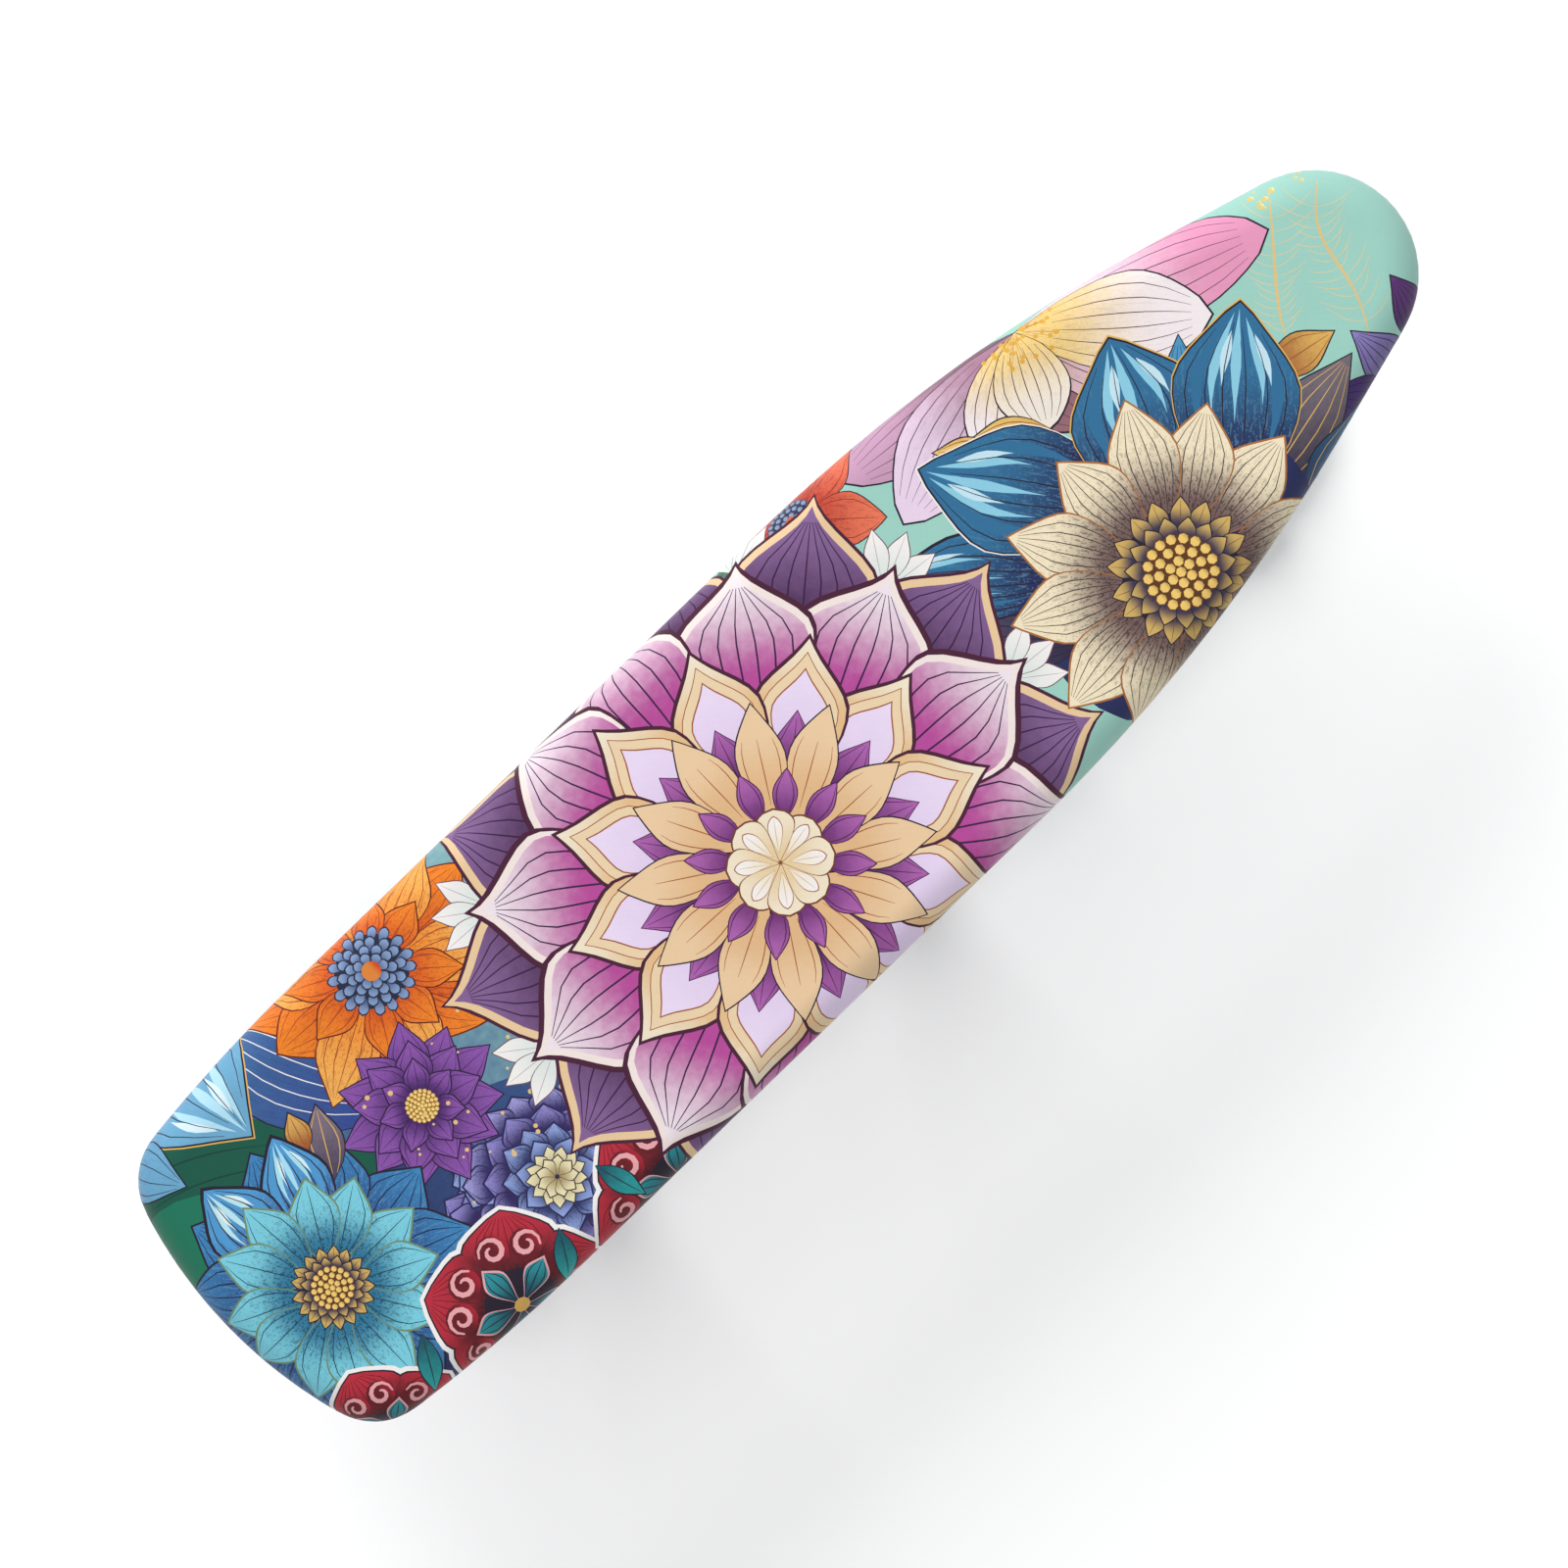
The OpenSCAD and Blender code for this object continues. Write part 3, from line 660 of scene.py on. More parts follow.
def cover_profile():
    """Across the edge, outwards from the crown line: (length along the cloth, outward, height)."""
    turn = np.linspace(0, np.pi / 2, BEND_POINTS)
    over = np.stack([CROWN * np.sin(turn), top_z - EDGE_DROP + EDGE_DROP * np.cos(turn)], axis=1)
    under = np.stack([CROWN - TUCK_R + TUCK_R * np.cos(turn), lip_z + TUCK_R - TUCK_R * np.sin(turn)],
                     axis=1)
    path = np.vstack([over, under])
    along = np.concatenate([[0], np.cumsum(np.linalg.norm(np.diff(path, axis=0), axis=1))])
    return along, path[:, 0], path[:, 1]


PROFILE = cover_profile()
SIDE_END = float(PROFILE[0][-1])        # cloth used up by the time it reaches the lip
LIP_CLOTH = CROWN - TUCK_R + HEM_INSET  # flat cloth from the bend to the middle of the hem
CLOTH_END = SIDE_END + LIP_CLOTH
PLEAT = 1.5                             # height of the gathers at the hem
SWELL = 0.22                            # how far they still push out the side at its foot
SWELL_START = SIDE_END * 0.6            # and where on the side they begin to
STRAIGHT = (-205, 120)                  # between these x the board's sides run straight
END_REACH = 60                          # and this far past them the gathers are at their fullest


def gather_waves(place, total):
    """How gathered cloth rises and falls along a line of that length, about -1 to 1."""
    waves = np.zeros_like(place)
    order = random.Random(5)
    for pitch, share in ((7.3, 0.5), (9.6, 0.4), (15.2, 0.25), (4.9, 0.2)):
        count = round(total / pitch)
        phase = order.uniform(0, tau)
        drift = 0.9 * np.sin(tau * place / total * 5 + phase)
        waves += share * np.sin(tau * count * place / total + phase + drift)
    return waves


def tightness(points):
    """How hard the elastic gathers the cloth: little on the straight sides, much round the ends."""
    x = points[:, 0]
    ends = np.maximum(x - STRAIGHT[1], STRAIGHT[0] - x).clip(0, END_REACH) / END_REACH
    return 0.45 + 0.55 * ends


def wrap(flat):
    """Where each point of the flat cloth, in millimetres, lies on the board."""
    placed = np.column_stack([flat, np.full(len(flat), top_z)])
    outer = ~inside(crown_line.line, flat)
    placed[outer] = wrap_edge(flat[outer])
    return placed


def wrap_edge(flat):
    """The same for the points outside the crown line: over the edge, down and under."""
    foot, place, away = crown_line.nearest(flat)
    heading = (flat - foot) / np.maximum(away, 1e-6)[:, None]
    along, outward, height = PROFILE
    spot = foot + heading * np.interp(away, along, outward)[:, None]
    z = np.interp(away, along, height)
    waves = gather_waves(place, crown_line.round)
    pull = tightness(spot)
    lip = away > SIDE_END
    share = ((away[lip] - SIDE_END) / LIP_CLOTH).clip(0, 1)
    goal = hem_line.nearest(spot[lip])[0]
    z[lip] += PLEAT * share * pull[lip] * waves[lip]
    spot[lip] += (goal - spot[lip]) * share[:, None]
    share = ((away - SWELL_START) / (SIDE_END - SWELL_START)).clip(0, 1)
    swell = SWELL * share * pull * (waves + 1) * (1 - lip)
    return np.column_stack([spot + heading * swell[:, None], z])


def surface_normals(flat):
    step = 0.05
    ahead = wrap(flat + (step, 0)) - wrap(flat - (step, 0))
    aside = wrap(flat + (0, step)) - wrap(flat - (0, step))
    normal = np.cross(ahead, aside)
    return normal / np.maximum(np.linalg.norm(normal, axis=1), 1e-12)[:, None]


def cloth_rows():
    """Closed rows of points round the cloth, closer together where it bends or gathers."""
    along = PROFILE[0]
    rows = [crown_line.outset(away)[::4] for away in along[:BEND_POINTS:3]]
    rows += [crown_line.outset(away)[::2] for away in along[BEND_POINTS::3]]
    rows += [crown_line.outset(away) for away in np.linspace(SIDE_END, CLOTH_END, 8)[1:]]
    return rows


def triangulate(points, edges, border):
    """Triangles on the points that respect the edges: (points, faces inside the border)."""
    # Blender's triangulation works best on numbers near one
    scale, weld = 0.01, 1e-7
    cut = delaunay_2d_cdt([Vector(p) * scale for p in points], edges, [], 0, weld, False)
    points, faces = np.array(cut[0], float) / scale, np.array(cut[2])
    return points, faces[inside(border, points[faces].mean(axis=1))]


def top_shape(centres, loops):
    """For each centre, which of the loops is printed last over it: 0 for the plain cloth."""
    owner = np.zeros(len(centres), int)
    x, y = centres.T
    for k, loop in enumerate(loops):
        (low_x, low_y), (high_x, high_y) = loop.min(axis=0), loop.max(axis=0)
        near = np.flatnonzero((x > low_x) & (x < high_x) & (y > low_y) & (y < high_y))
        owner[near[inside(loop, centres[near])]] = k
    return owner


def joined(line, first):
    """The edges of a closed line whose points start at number first."""
    return [(first + k, first + (k + 1) % len(line)) for k in range(len(line))]


def cut_cloth(shapes):
    """Cuts the flat cloth where its print changes: (points, faces, the shape seen on each)."""
    rows = cloth_rows()
    border = rows[-1]
    low, high = border.min(axis=0), border.max(axis=0)
    seen = [s for s in shapes if (s["points"].max(axis=0) > low).all()
            and (s["points"].min(axis=0) < high).all()]
    loops = [border] + [s["points"] for s in seen]
    points, edges = [], []
    for line in loops:
        edges += joined(line, len(points))
        points.extend(line)
    points, faces = triangulate(points, edges, border)
    owner = top_shape(points[faces].mean(axis=1), loops)

    # Outlines hidden under later shapes are dropped before the final cut
    sides = np.sort(faces[:, [[0, 1], [1, 2], [2, 0]]], axis=2).reshape(-1, 2)
    sides, which, uses = np.unique(sides, axis=0, return_inverse=True, return_counts=True)
    held_by = np.repeat(owner, 3)
    highest, lowest = np.full(len(sides), -1), np.full(len(sides), len(loops))
    np.maximum.at(highest, which.ravel(), held_by)
    np.minimum.at(lowest, which.ravel(), held_by)
    kept = sides[(highest != lowest) & (uses == 2)]
    used, kept = np.unique(kept, return_inverse=True)
    points, edges = list(points[used]), [tuple(pair) for pair in kept.reshape(-1, 2).tolist()]
    for row in rows:
        edges += joined(row, len(points))
        points.extend(row)
    points, faces = triangulate(points, edges, border)
    return points, faces, top_shape(points[faces].mean(axis=1), loops), [ground_shape()] + seen


def ground_shape():
    """The plain cloth under every shape: mint at the nose, deeper towards the tail."""
    return {"base": (0.20, 0.34, 0.56), "tip": MINT, "start": np.array([-230.0, 0.0]),
            "end": np.array([10.0, 0.0]), "strokes": 0.0, "ink": INK}


def printed_sheet(name, shapes):
    """The cloth as a mesh, with what is printed on it held by its face corners."""
    flat, faces, printed, owners = cut_cloth(shapes)
    used, compact = np.unique(faces, return_inverse=True)
    flat, faces = flat[used], compact.reshape(faces.shape)
    a, b, c = (flat[faces[:, k]] for k in range(3))
    turned = np.cross(b - a, c - a) < 0
    faces[turned] = faces[turned][:, ::-1]
    mesh = bpy.data.meshes.new(name)
    mesh.from_pydata((wrap(flat) * MM).tolist(), [], faces.tolist())
    corners = flat[faces.ravel()]

    def by_corner(key, change=np.asarray):
        return np.repeat([change(owners[k][key]) for k in printed], 3, axis=0)

    # Where each corner lies in its shape: u from base to tip, v to the side in millimetres
    start, span = by_corner("start"), by_corner("end") - by_corner("start")
    size = (span ** 2).sum(axis=1)
    u = ((corners - start) * span).sum(axis=1) / size
    v = np.cross(span, corners - start) / np.sqrt(size)
    place = mesh.attributes.new("print_place", "FLOAT_VECTOR", "CORNER")
    place.data.foreach_set("vector", np.column_stack([u, v, by_corner("strokes")]).ravel())
    for key in ("base", "tip", "ink"):
        layer = mesh.attributes.new(f"print_{key}", "FLOAT_COLOR", "CORNER")
        layer.data.foreach_set("color", by_corner(key, rgba).ravel())
    mesh.uv_layers.new(name="cloth").data.foreach_set("uv", (corners * MM).ravel())
    mesh.polygons.foreach_set("use_smooth", np.ones(len(faces), bool))
    mesh.normals_split_custom_set_from_vertices(surface_normals(flat).tolist())
    mesh.update()
    return add_object(name, mesh)


def add_object(name, mesh):
    piece = bpy.data.objects.new(name, mesh)
    scene.collection.objects.link(piece)
    return piece


# -------------------------------- materials

class Nodes:
    """A short way to write a material's node tree.

    where is the place that its textures are laid out by: the object's own coordinates in metres,
    or a UV map's.
    """

    def __init__(self, name, uv_map=None):
        self.material = bpy.data.materials.new(name)
        self.material.use_nodes = True
        self.tree = self.material.node_tree
        self.shader = self.tree.nodes["Principled BSDF"]
        if uv_map:
            self.where = self.add("ShaderNodeUVMap", uv_map=uv_map).outputs["UV"]
        else:
            self.where = self.add("ShaderNodeTexCoord").outputs["Object"]

    def add(self, kind, **settings):
        node = self.tree.nodes.new(kind)
        for key, value in settings.items():
            setattr(node, key, value)
        return node

    def put(self, value, socket):
        if isinstance(value, bpy.types.NodeSocket):
            self.tree.links.new(value, socket)
        else:
            socket.default_value = value

    def fill(self, node, **values):
        """Gives a node's inputs their values; a space in an input's name is written as _."""
        for key, value in values.items():
            self.put(value, node.inputs[key.replace("_", " ")])

    def math(self, operation, a, b=0.0, c=0.0, clamp=False):
        node = self.add("ShaderNodeMath", operation=operation, use_clamp=clamp)
        for value, socket in zip((a, b, c), node.inputs):
            self.put(value, socket)
        return node.outputs[0]

    def times(self, a, b):
        return self.math("MULTIPLY", a, b)

    def plus(self, a, b):
        return self.math("ADD", a, b)

    def line(self, value, slope, start):
        return self.math("MULTIPLY_ADD", value, slope, start)

    def mix(self, factor, a, b, blend="MIX"):
        node = self.add("ShaderNodeMix", data_type="RGBA", blend_type=blend)
        for value, index in ((factor, 0), (a, 6), (b, 7)):
            self.put(value, node.inputs[index])
        return node.outputs[2]

    def ramp(self, value, low, high, out_low=0.0, out_high=1.0):
        node = self.add("ShaderNodeMapRange", interpolation_type="SMOOTHSTEP")
        self.fill(node, Value=value, From_Min=low, From_Max=high, To_Min=out_low, To_Max=out_high)
        return node.outputs["Result"]

    def tones(self, value, low, high, dark, light):
        """Two sRGB colours that run into each other as the value goes from low to high."""
        return self.mix(self.ramp(value, low, high), rgba(dark), rgba(light))

    def noise(self, scale, detail=3.0, roughness=0.5, at=None):
        node = self.add("ShaderNodeTexNoise")
        self.fill(node, Vector=at or self.where, Scale=scale, Detail=detail, Roughness=roughness)
        return node.outputs["Fac"]

    def cells(self, scale, **settings):
        """The distance to the middle of the nearest of many irregular cells."""
        node = self.add("ShaderNodeTexVoronoi", **settings)
        self.fill(node, Vector=self.where, Scale=scale)
        return node.outputs["Distance"]

    def split(self, vector):
        node = self.add("ShaderNodeSeparateXYZ")
        self.put(vector, node.inputs[0])
        return node.outputs

    def weave(self, pitch):
        """Plain weave, as a height from 0 to 1."""
        turns = tau / pitch
        waves = [self.math("SINE", self.times(side, turns)) for side in self.split(self.where)[:2]]
        return self.line(self.times(*waves), 0.5, 0.5)

    def bump(self, height, distance, strength=0.5):
        node = self.add("ShaderNodeBump")
        self.fill(node, Strength=strength, Distance=distance, Height=height)
        self.put(node.outputs["Normal"], self.shader.inputs["Normal"])

    def finish(self, **values):
        self.fill(self.shader, **values)
        return self.material


def printed_cotton():
    """Printed plain-weave cotton: the pattern from the mesh, pen strokes, thread and slub."""
    nodes = Nodes("printed_cotton", uv_map="cloth")
    base, tip, ink = (nodes.add("ShaderNodeAttribute", attribute_name=f"print_{key}").outputs["Color"]
                      for key in ("base", "tip", "ink"))
    place = nodes.add("ShaderNodeAttribute", attribute_name="print_place").outputs["Vector"]
    along, aside, strokes = nodes.split(place)
    washed = nodes.line(nodes.noise(320.0, 2.0), 0.24, -0.12)
    colour = nodes.mix(nodes.ramp(nodes.plus(along, washed), 0.04, 0.96), base, tip)

    # Pen strokes that run along each shape and stippling, both fading towards its tip
    streak_at = nodes.add("ShaderNodeCombineXYZ")
    nodes.fill(streak_at, X=nodes.times(along, 2.2), Y=nodes.times(aside, 0.36))
    streaks = nodes.ramp(nodes.noise(3.0, 2.0, 0.6, at=streak_at.outputs[0]), 0.56, 0.62)
    stipple = nodes.ramp(nodes.cells(620.0, voronoi_dimensions="2D"), 0.20, 0.13)
    fade = nodes.math("SUBTRACT", 1.05, nodes.times(along, 0.8))
    amount = nodes.math("MULTIPLY", strokes, fade, clamp=True)
    drawn, dotted = nodes.times(streaks, amount), nodes.times(stipple, amount)
    mark = nodes.math("MAXIMUM", drawn, nodes.times(dotted, 0.85), clamp=True)
    colour = nodes.mix(nodes.times(mark, 0.8), colour, ink)

    threads, slub = nodes.weave(0.00052), nodes.noise(90.0, 4.0)
    tone = nodes.plus(nodes.times(threads, 0.04), nodes.times(slub, 0.06))
    tone = nodes.plus(tone, 0.69)
    grey = nodes.add("ShaderNodeCombineColor")
    nodes.fill(grey, Red=tone, Green=tone, Blue=tone)
    puckers = nodes.noise(28.0, 2.0)
    nodes.bump(nodes.plus(nodes.times(threads, 0.16), nodes.times(puckers, 1.6)), 0.0004, 0.55)
    return nodes.finish(Base_Color=nodes.mix(1.0, colour, grey.outputs[0], "MULTIPLY"),
                        Roughness=nodes.line(slub, 0.12, 0.76), Sheen_Weight=0.18,
                        Sheen_Roughness=0.5, Specular_IOR_Level=0.25)


def binding_cloth():
    """The bias binding round the hem: the cover's cotton, dyed one colour."""
    nodes = Nodes("bias_binding")
    threads, slub = nodes.weave(0.0006), nodes.noise(260.0)
    nodes.bump(nodes.plus(threads, slub), 0.0002, 0.6)
    colour = nodes.tones(slub, 0.3, 0.75, (0.46, 0.30, 0.52), (0.56, 0.40, 0.62))
    return nodes.finish(Base_Color=colour, Roughness=nodes.line(slub, 0.15, 0.75), Sheen_Weight=0.2)


def sewing_thread():
    nodes = Nodes("sewing_thread")
    twist = nodes.noise(2200.0, 1.0)
    nodes.bump(twist, 0.0001)
    colour = nodes.mix(twist, rgba((0.86, 0.80, 0.88)), rgba((0.95, 0.92, 0.96)))
    return nodes.finish(Base_Color=colour, Roughness=nodes.line(twist, 0.2, 0.5))


def powder_coat():
    """Satin powder coat with orange peel, a little rubbed and dusty."""
    nodes = Nodes("powder_coat")
    wear = nodes.noise(38.0, 5.0, 0.6)
    colour = nodes.tones(wear, 0.35, 0.7, (0.78, 0.79, 0.78), (0.83, 0.84, 0.83))
    specks = nodes.ramp(nodes.noise(620.0, 2.0), 0.72, 0.78)
    colour = nodes.mix(nodes.times(specks, 0.5), colour, rgba((0.60, 0.60, 0.58)))
    nodes.bump(nodes.noise(1100.0, 2.0), 0.00012)
    return nodes.finish(Base_Color=colour, Roughness=nodes.ramp(wear, 0.3, 0.7, 0.24, 0.36),
                        Coat_Weight=0.3, Coat_Roughness=0.15)


def zinc_plate():
    """Bright zinc on sheet steel: faint rolling lines and cloudy patches."""
    nodes = Nodes("zinc_plate")
    stretch = nodes.add("ShaderNodeMapping")
    nodes.fill(stretch, Vector=nodes.where, Scale=(60.0, 2400.0, 2400.0))
    rolled = nodes.noise(1.0, 3.0, 0.6, at=stretch.outputs[0])
    tint = nodes.tones(nodes.noise(45.0, 4.0), 0.3, 0.7, (0.68, 0.69, 0.70), (0.80, 0.81, 0.81))
    colour = nodes.mix(nodes.times(nodes.cells(240.0), 0.35), tint, rgba((0.58, 0.59, 0.60)))
    nodes.bump(rolled, 0.00006)
    return nodes.finish(Base_Color=colour, Metallic=1.0, Roughness=nodes.line(rolled, 0.18, 0.24))


def spun_metal(name, dark, light, rough):
    nodes = Nodes(name)
    grain = nodes.noise(900.0, 4.0, 0.65)
    nodes.bump(grain, 0.00005)
    return nodes.finish(Base_Color=nodes.tones(nodes.noise(160.0), 0.3, 0.7, dark, light),
                        Metallic=1.0, Roughness=nodes.line(grain, 0.2, rough))


def moulded(name, dark, light, rough, grain_size, depth):
    """Rubber or plastic with a fine moulded grain and slightly dusty high spots."""
    nodes = Nodes(name)
    dust = nodes.noise(70.0, 4.0)
    nodes.bump(nodes.noise(grain_size), depth, 0.6)
    return nodes.finish(Base_Color=nodes.tones(dust, 0.4, 0.75, dark, light),
                        Roughness=nodes.line(dust, 0.2, rough))


def felted(name, dark, light, grain_size):
    nodes = Nodes(name)
    fibres = nodes.noise(grain_size, 6.0, 0.7)
    nodes.bump(fibres, 0.0005, 0.8)
    return nodes.finish(Base_Color=nodes.tones(fibres, 0.35, 0.68, dark, light),
                        Roughness=nodes.line(fibres, 0.1, 0.88), Sheen_Weight=0.25)


MATERIALS = {
    "powder_coat": powder_coat(),
    "zinc_steel": zinc_plate(),
    "rivet_alu": spun_metal("rivet_alu", (0.72, 0.72, 0.73), (0.84, 0.84, 0.85), 0.25),
    "insert_brass": spun_metal("insert_brass", (0.70, 0.52, 0.22), (0.84, 0.68, 0.36), 0.22),
    "rubber_grey": moulded("rubber_grey", (0.12, 0.12, 0.13), (0.22, 0.22, 0.22), 0.62, 1500.0, 0.0002),
    "nylon": moulded("nylon", (0.84, 0.82, 0.74), (0.90, 0.88, 0.82), 0.4, 900.0, 0.00005),
    "knob_plastic": moulded("knob_plastic", (0.06, 0.06, 0.07), (0.12, 0.12, 0.13), 0.38, 2600.0,
                            0.00012),
    "wool_felt": felted("wool_felt", (0.46, 0.45, 0.44), (0.66, 0.65, 0.62), 700.0),
    "foam": felted("foam", (0.84, 0.79, 0.60), (0.95, 0.92, 0.78), 1300.0),
    "elastic": felted("elastic", (0.85, 0.85, 0.83), (0.95, 0.95, 0.93), 1800.0),
    "printed_cotton": printed_cotton(),
}


def finish_cad_nodes():
    """Each model node that stays in view takes the material of its slot."""
    for part in frame["record"]["subparts"]:
        node = frame["nodes"][part["node"]]
        for slot in node.material_slots:
            slot.link = "OBJECT"
            slot.material = MATERIALS[part["material_slot"]]


# -------------------------------- pieces made from mesh code

def loft(name, rings, closed=True):
    """A skin over equal rings of points, in millimetres. closed joins the last ring to the first."""
    count, size = len(rings), len(rings[0])
    faces = []
    for i in range(count if closed else count - 1):
        this, following = i * size, (i + 1) % count * size
        for j in range(size):
            beside = (j + 1) % size
            faces.append((this + j, this + beside, following + beside, following + j))
    mesh = bpy.data.meshes.new(name)
    mesh.from_pydata((np.vstack(rings) * MM).tolist(), [], faces)
    mesh.polygons.foreach_set("use_smooth", np.ones(len(faces), bool))
    fix_skin(mesh)
    return add_object(name, mesh)


def fix_skin(mesh, fill_holes=False):
    """Turns the faces outwards, once any open ends are closed."""
    shell = bmesh.new()
    shell.from_mesh(mesh)
    if fill_holes:
        bmesh.ops.holes_fill(shell, edges=[e for e in shell.edges if e.is_boundary], sides=0)
    bmesh.ops.recalc_face_normals(shell, faces=shell.faces)
    shell.to_mesh(mesh)
    shell.free()


def under_cover(name, node):
    """A pad that fills its node's height and follows the cover's rounding a little inside it."""
    inset, play, wrinkle, layers = 1, 0.3, 0.10, 7
    low, high = (corner[2] for corner in box_mm(node))
    centre_z = top_z - EDGE_DROP
    crumple = wrinkle * (1 + gather_waves(crown_line.along, crown_line.round))
    rows = []
    for z in np.linspace(low, high, layers):
        fall = min((z - centre_z) / (EDGE_DROP - inset), 1.0)
        out = (CROWN - inset) * sqrt(1 - fall ** 2) - play - crumple
        ring = crown_line.outset(out[:, None])
        rows.append(np.column_stack([ring, np.full(len(ring), z)])[::3])
    piece = loft(name, rows, closed=False)
    fix_skin(piece.data, fill_holes=True)
    return piece


HEM_HALF_W, HEM_HALF_H = 3.0, 1.5
HEM_SINK = 0.3        # how far the hem's flat underside hangs below the cover's lip
RIPPLE = 1.7          # how much finer the binding ripples than the cover gathers
OUT_OF_STEP = 11      # and how far along from the gathers its ripples start


def hem_points(turn, grow=0.0):
    """Points round the gathered hem's skin, at one angle about its centre line."""
    crown_place = crown_line.nearest(hem_line.line)[1]
    waves = gather_waves(crown_place, crown_line.round)
    fine = gather_waves(hem_line.along * RIPPLE + OUT_OF_STEP, hem_line.round * RIPPLE)
    pull = tightness(hem_line.line)
    out = (HEM_HALF_W * (0.93 + 0.05 * fine * pull) + grow) * cos(turn)
    up = (HEM_HALF_H * (1 + 0.12 * fine * pull) + grow) * sin(turn)
    z = lip_z + HEM_HALF_H - HEM_SINK + PLEAT * pull * waves + up
    return np.column_stack([hem_line.outset(out[:, None]), z])


def hem_binding():
    """The gathered hem: a soft flattened tube on the cover's inner edge, with the elastic in it."""
    skin = [hem_points(turn) for turn in np.arange(12) / 12 * tau]
    return loft("hem_binding", list(np.stack(skin, axis=1)))


def stitches():
    """A row of lockstitches that holds the binding, seen on the board's under side."""
    pitch, length, radius = 3.2, 2.3, 0.27
    line = hem_points(radians(-55), 0.1)
    count = round(hem_line.round / pitch)
    shell = bmesh.new()
    for k in range(count):
        centre = round((k + 0.5) / count * len(line)) % len(line)
        ahead = Vector(line[(centre + 1) % len(line)] - line[centre - 1])
        place = (Matrix.Translation(Vector(line[centre]) * MM)
                 @ ahead.to_track_quat("X", "Z").to_matrix().to_4x4()
                 @ Matrix.Diagonal((length / 2 / radius, 1, 0.8, 1)))
        bmesh.ops.create_icosphere(shell, subdivisions=1, radius=radius * MM, matrix=place)
    mesh = bpy.data.meshes.new("hem_stitches")
    shell.to_mesh(mesh)
    shell.free()
    mesh.polygons.foreach_set("use_smooth", np.ones(len(mesh.polygons), bool))
    return add_object("hem_stitches", mesh)


BEAD_R = 0.9          # radius of a weld bead
RAIL_R = 4.5          # and of the rod that the base is bent from


def bead(name, path, seed):
    """A weld bead: a rippled tube along the path, in millimetres."""
    tangent = np.gradient(path, axis=0)
    tangent /= np.linalg.norm(tangent, axis=1)[:, None] + 1e-9
    order = random.Random(seed)
    rings = []
    for k, (spot, along) in enumerate(zip(path, tangent)):
        side = np.cross(along, (0, 0, 1))
        if np.linalg.norm(side) < 1e-3:
            side = np.cross(along, (0, 1, 0))
        side /= np.linalg.norm(side)
        up = np.cross(side, along)
        size = BEAD_R * (0.85 + 0.18 * (k % 2) + order.uniform(-0.05, 0.05))
        if k in (0, len(path) - 1):
            size *= 0.3     # drawn in at both ends
        rings.append(np.array([spot + size * (side * cos(t) + up * sin(t))
                               for t in np.arange(8) / 8 * tau]))
    return loft(name, rings, closed=False)


def welds():
    """Beads where the crossbars and the ears meet the base's rails."""
    base_low, base_high = box_mm("base_frame")
    rail_y, rail_z = base_high[1] - RAIL_R, base_low[2] + RAIL_R
    beads = []
    for bar in ("rear_crossbar", "front_crossbar"):
        low, high = box_mm(bar)
        middle, radius = (low[0] + high[0]) / 2, (high[0] - low[0]) / 2 + 0.2
        turn = np.linspace(0, tau, 40)
        z = radius * np.sin(turn)
        reach = rail_y - np.sqrt(RAIL_R ** 2 - z ** 2)
        for side in (-1, 1):
            ring = np.column_stack([middle + radius * np.cos(turn), side * reach, rail_z + z])
            beads.append(bead(f"weld_{bar}_{len(beads)}", ring, len(beads)))
    for ear in ("rear_left_ear", "rear_right_ear", "front_left_ear", "front_right_ear"):
        low, high = box_mm(ear)
        side = 1 if low[1] > 0 else -1
        outer = max(abs(low[1]), abs(high[1]))
        x = np.linspace(low[0] + 1.5, high[0] - 1.5, 26)
        lift = sqrt(RAIL_R ** 2 - (rail_y - outer) ** 2)
        line = [(along, side * (outer + 0.3), rail_z + lift + 0.2) for along in x]
        beads.append(bead(f"weld_{ear}", line, len(beads)))
    return beads


# -------------------------------- put the object together

finish_cad_nodes()

shapes = floral_print()
cover = printed_sheet("printed_cover", shapes)
cover.data.materials.append(MATERIALS["printed_cotton"])
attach(cover, "board")
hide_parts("cover")

hem = hem_binding()
hem.data.materials.append(binding_cloth())
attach(hem, "board")
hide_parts("hem_casing", "elastic_band")

thread = stitches()
thread.data.materials.append(sewing_thread())
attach(thread, "board")

foam = under_cover("foam_pad_soft", "foam_pad")
foam.data.materials.append(MATERIALS["foam"])
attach(foam, "board")
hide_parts("foam_pad")

felt = under_cover("felt_pad_soft", "felt_pad")
felt.data.materials.append(MATERIALS["wool_felt"])
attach(felt, "board")
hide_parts("felt_pad")

for weld in welds():
    weld.data.materials.append(MATERIALS["powder_coat"])
    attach(weld, "base")

cloth_length, cloth_width = (float(extent) + 2 * (CLOTH_END - CROWN)
                             for extent in np.ptp(edge_line.line, axis=0))


# -------------------------------- floor, light and camera

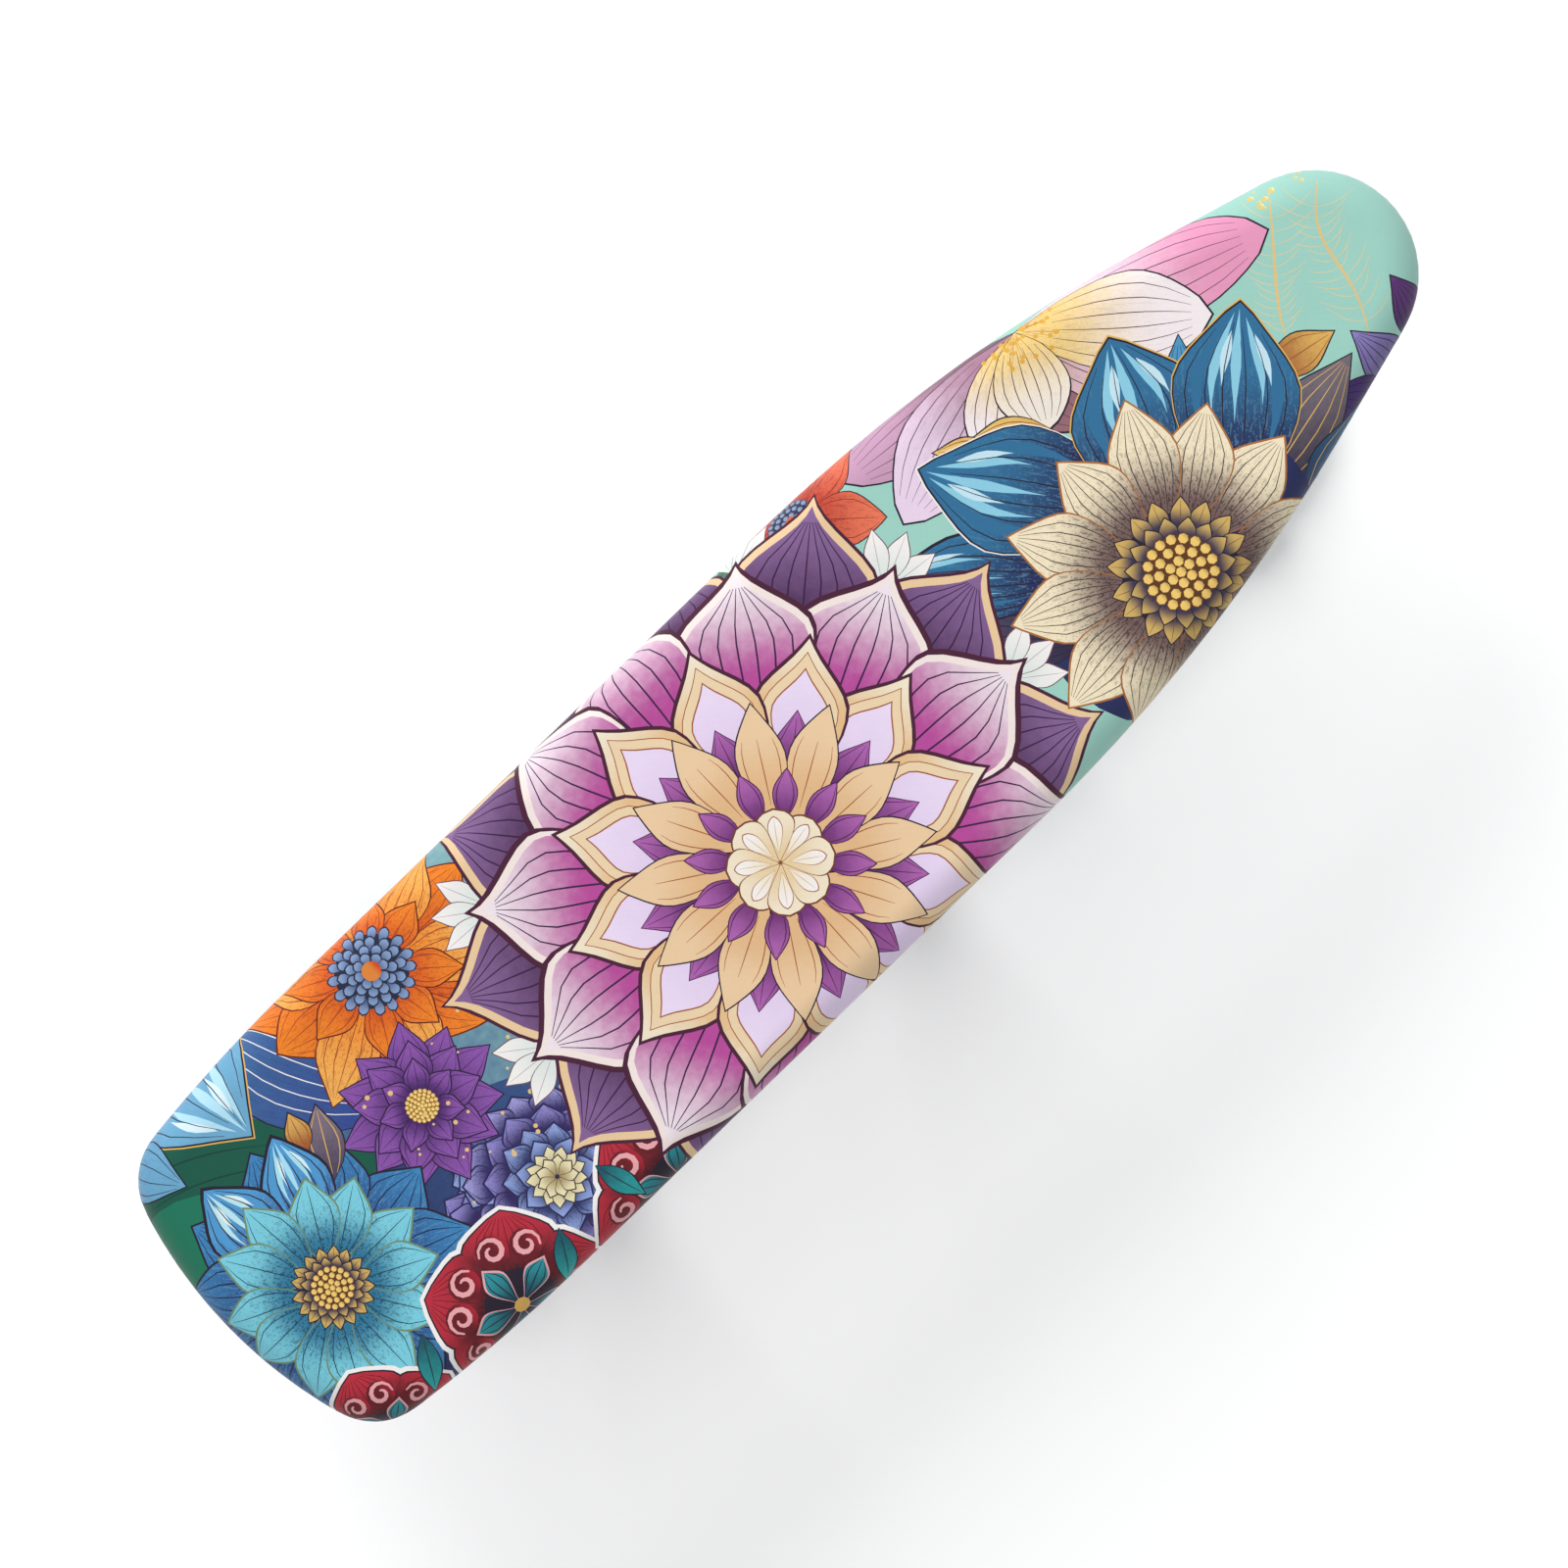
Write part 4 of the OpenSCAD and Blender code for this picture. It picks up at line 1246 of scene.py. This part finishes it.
def floor():
    reach = 6.0
    mesh = bpy.data.meshes.new("floor")
    mesh.from_pydata([(-reach, -reach, 0), (reach, -reach, 0), (reach, reach, 0), (-reach, reach, 0)],
                     [], [(0, 1, 2, 3)])
    nodes = Nodes("floor")
    mottle = nodes.noise(3.0, 2.0)
    colour = nodes.mix(mottle, rgba((0.97, 0.97, 0.97)), rgba((0.985, 0.985, 0.985)))
    mesh.materials.append(nodes.finish(Base_Color=colour, Roughness=0.8))
    add_object("floor", mesh)


def area_light(name, place, target, size, power):
    light = bpy.data.lights.new(name, "AREA")
    light.size = size
    light.energy = power
    lamp = add_object(name, light)
    lamp.location = place
    aim = Vector(target) - Vector(place)
    lamp.rotation_euler = aim.to_track_quat("-Z", "Y").to_euler()


BOARD_TURN = radians(44.1)          # how far the nose points up from the picture's right
VIEW_SHARE = 0.966                  # the picture's width as a share of the board's length
VIEW_CENTRE = (-0.010, 0.001)       # the board place in the middle of the picture


def in_view(right, up, height):
    """A place given as right and up in the photographed view, from straight above."""
    c, s = cos(BOARD_TURN), sin(BOARD_TURN)
    return (right * c + up * s, up * c - right * s, height)


def camera():
    lens = bpy.data.cameras.new("camera")
    lens.lens = 200.0
    lens.sensor_width = 36.0
    lens.clip_end = 50.0
    view_width = VIEW_SHARE * float(cad_box[1][0] - cad_box[0][0])
    distance = view_width * lens.lens / lens.sensor_width
    eye = add_object("camera", lens)
    eye.location = (*VIEW_CENTRE, top_z * MM + distance)
    eye.rotation_euler = (0, 0, -BOARD_TURN)
    scene.camera = eye


def daylight():
    world = bpy.data.worlds.new("studio")
    world.use_nodes = True
    sky = world.node_tree.nodes["Background"]
    sky.inputs["Color"].default_value = (0.98, 0.99, 1.0, 1.0)
    sky.inputs["Strength"].default_value = 0.50
    scene.world = world


floor()
camera()
area_light("key", in_view(-1.1, 1.9, 1.5), target=(0, 0, 0.1), size=1.5, power=62.0)
area_light("overhead", (0, 0, 3.0), target=(0, 0, 0), size=3.4, power=44.0)
daylight()
scene.view_settings.view_transform = "Standard"
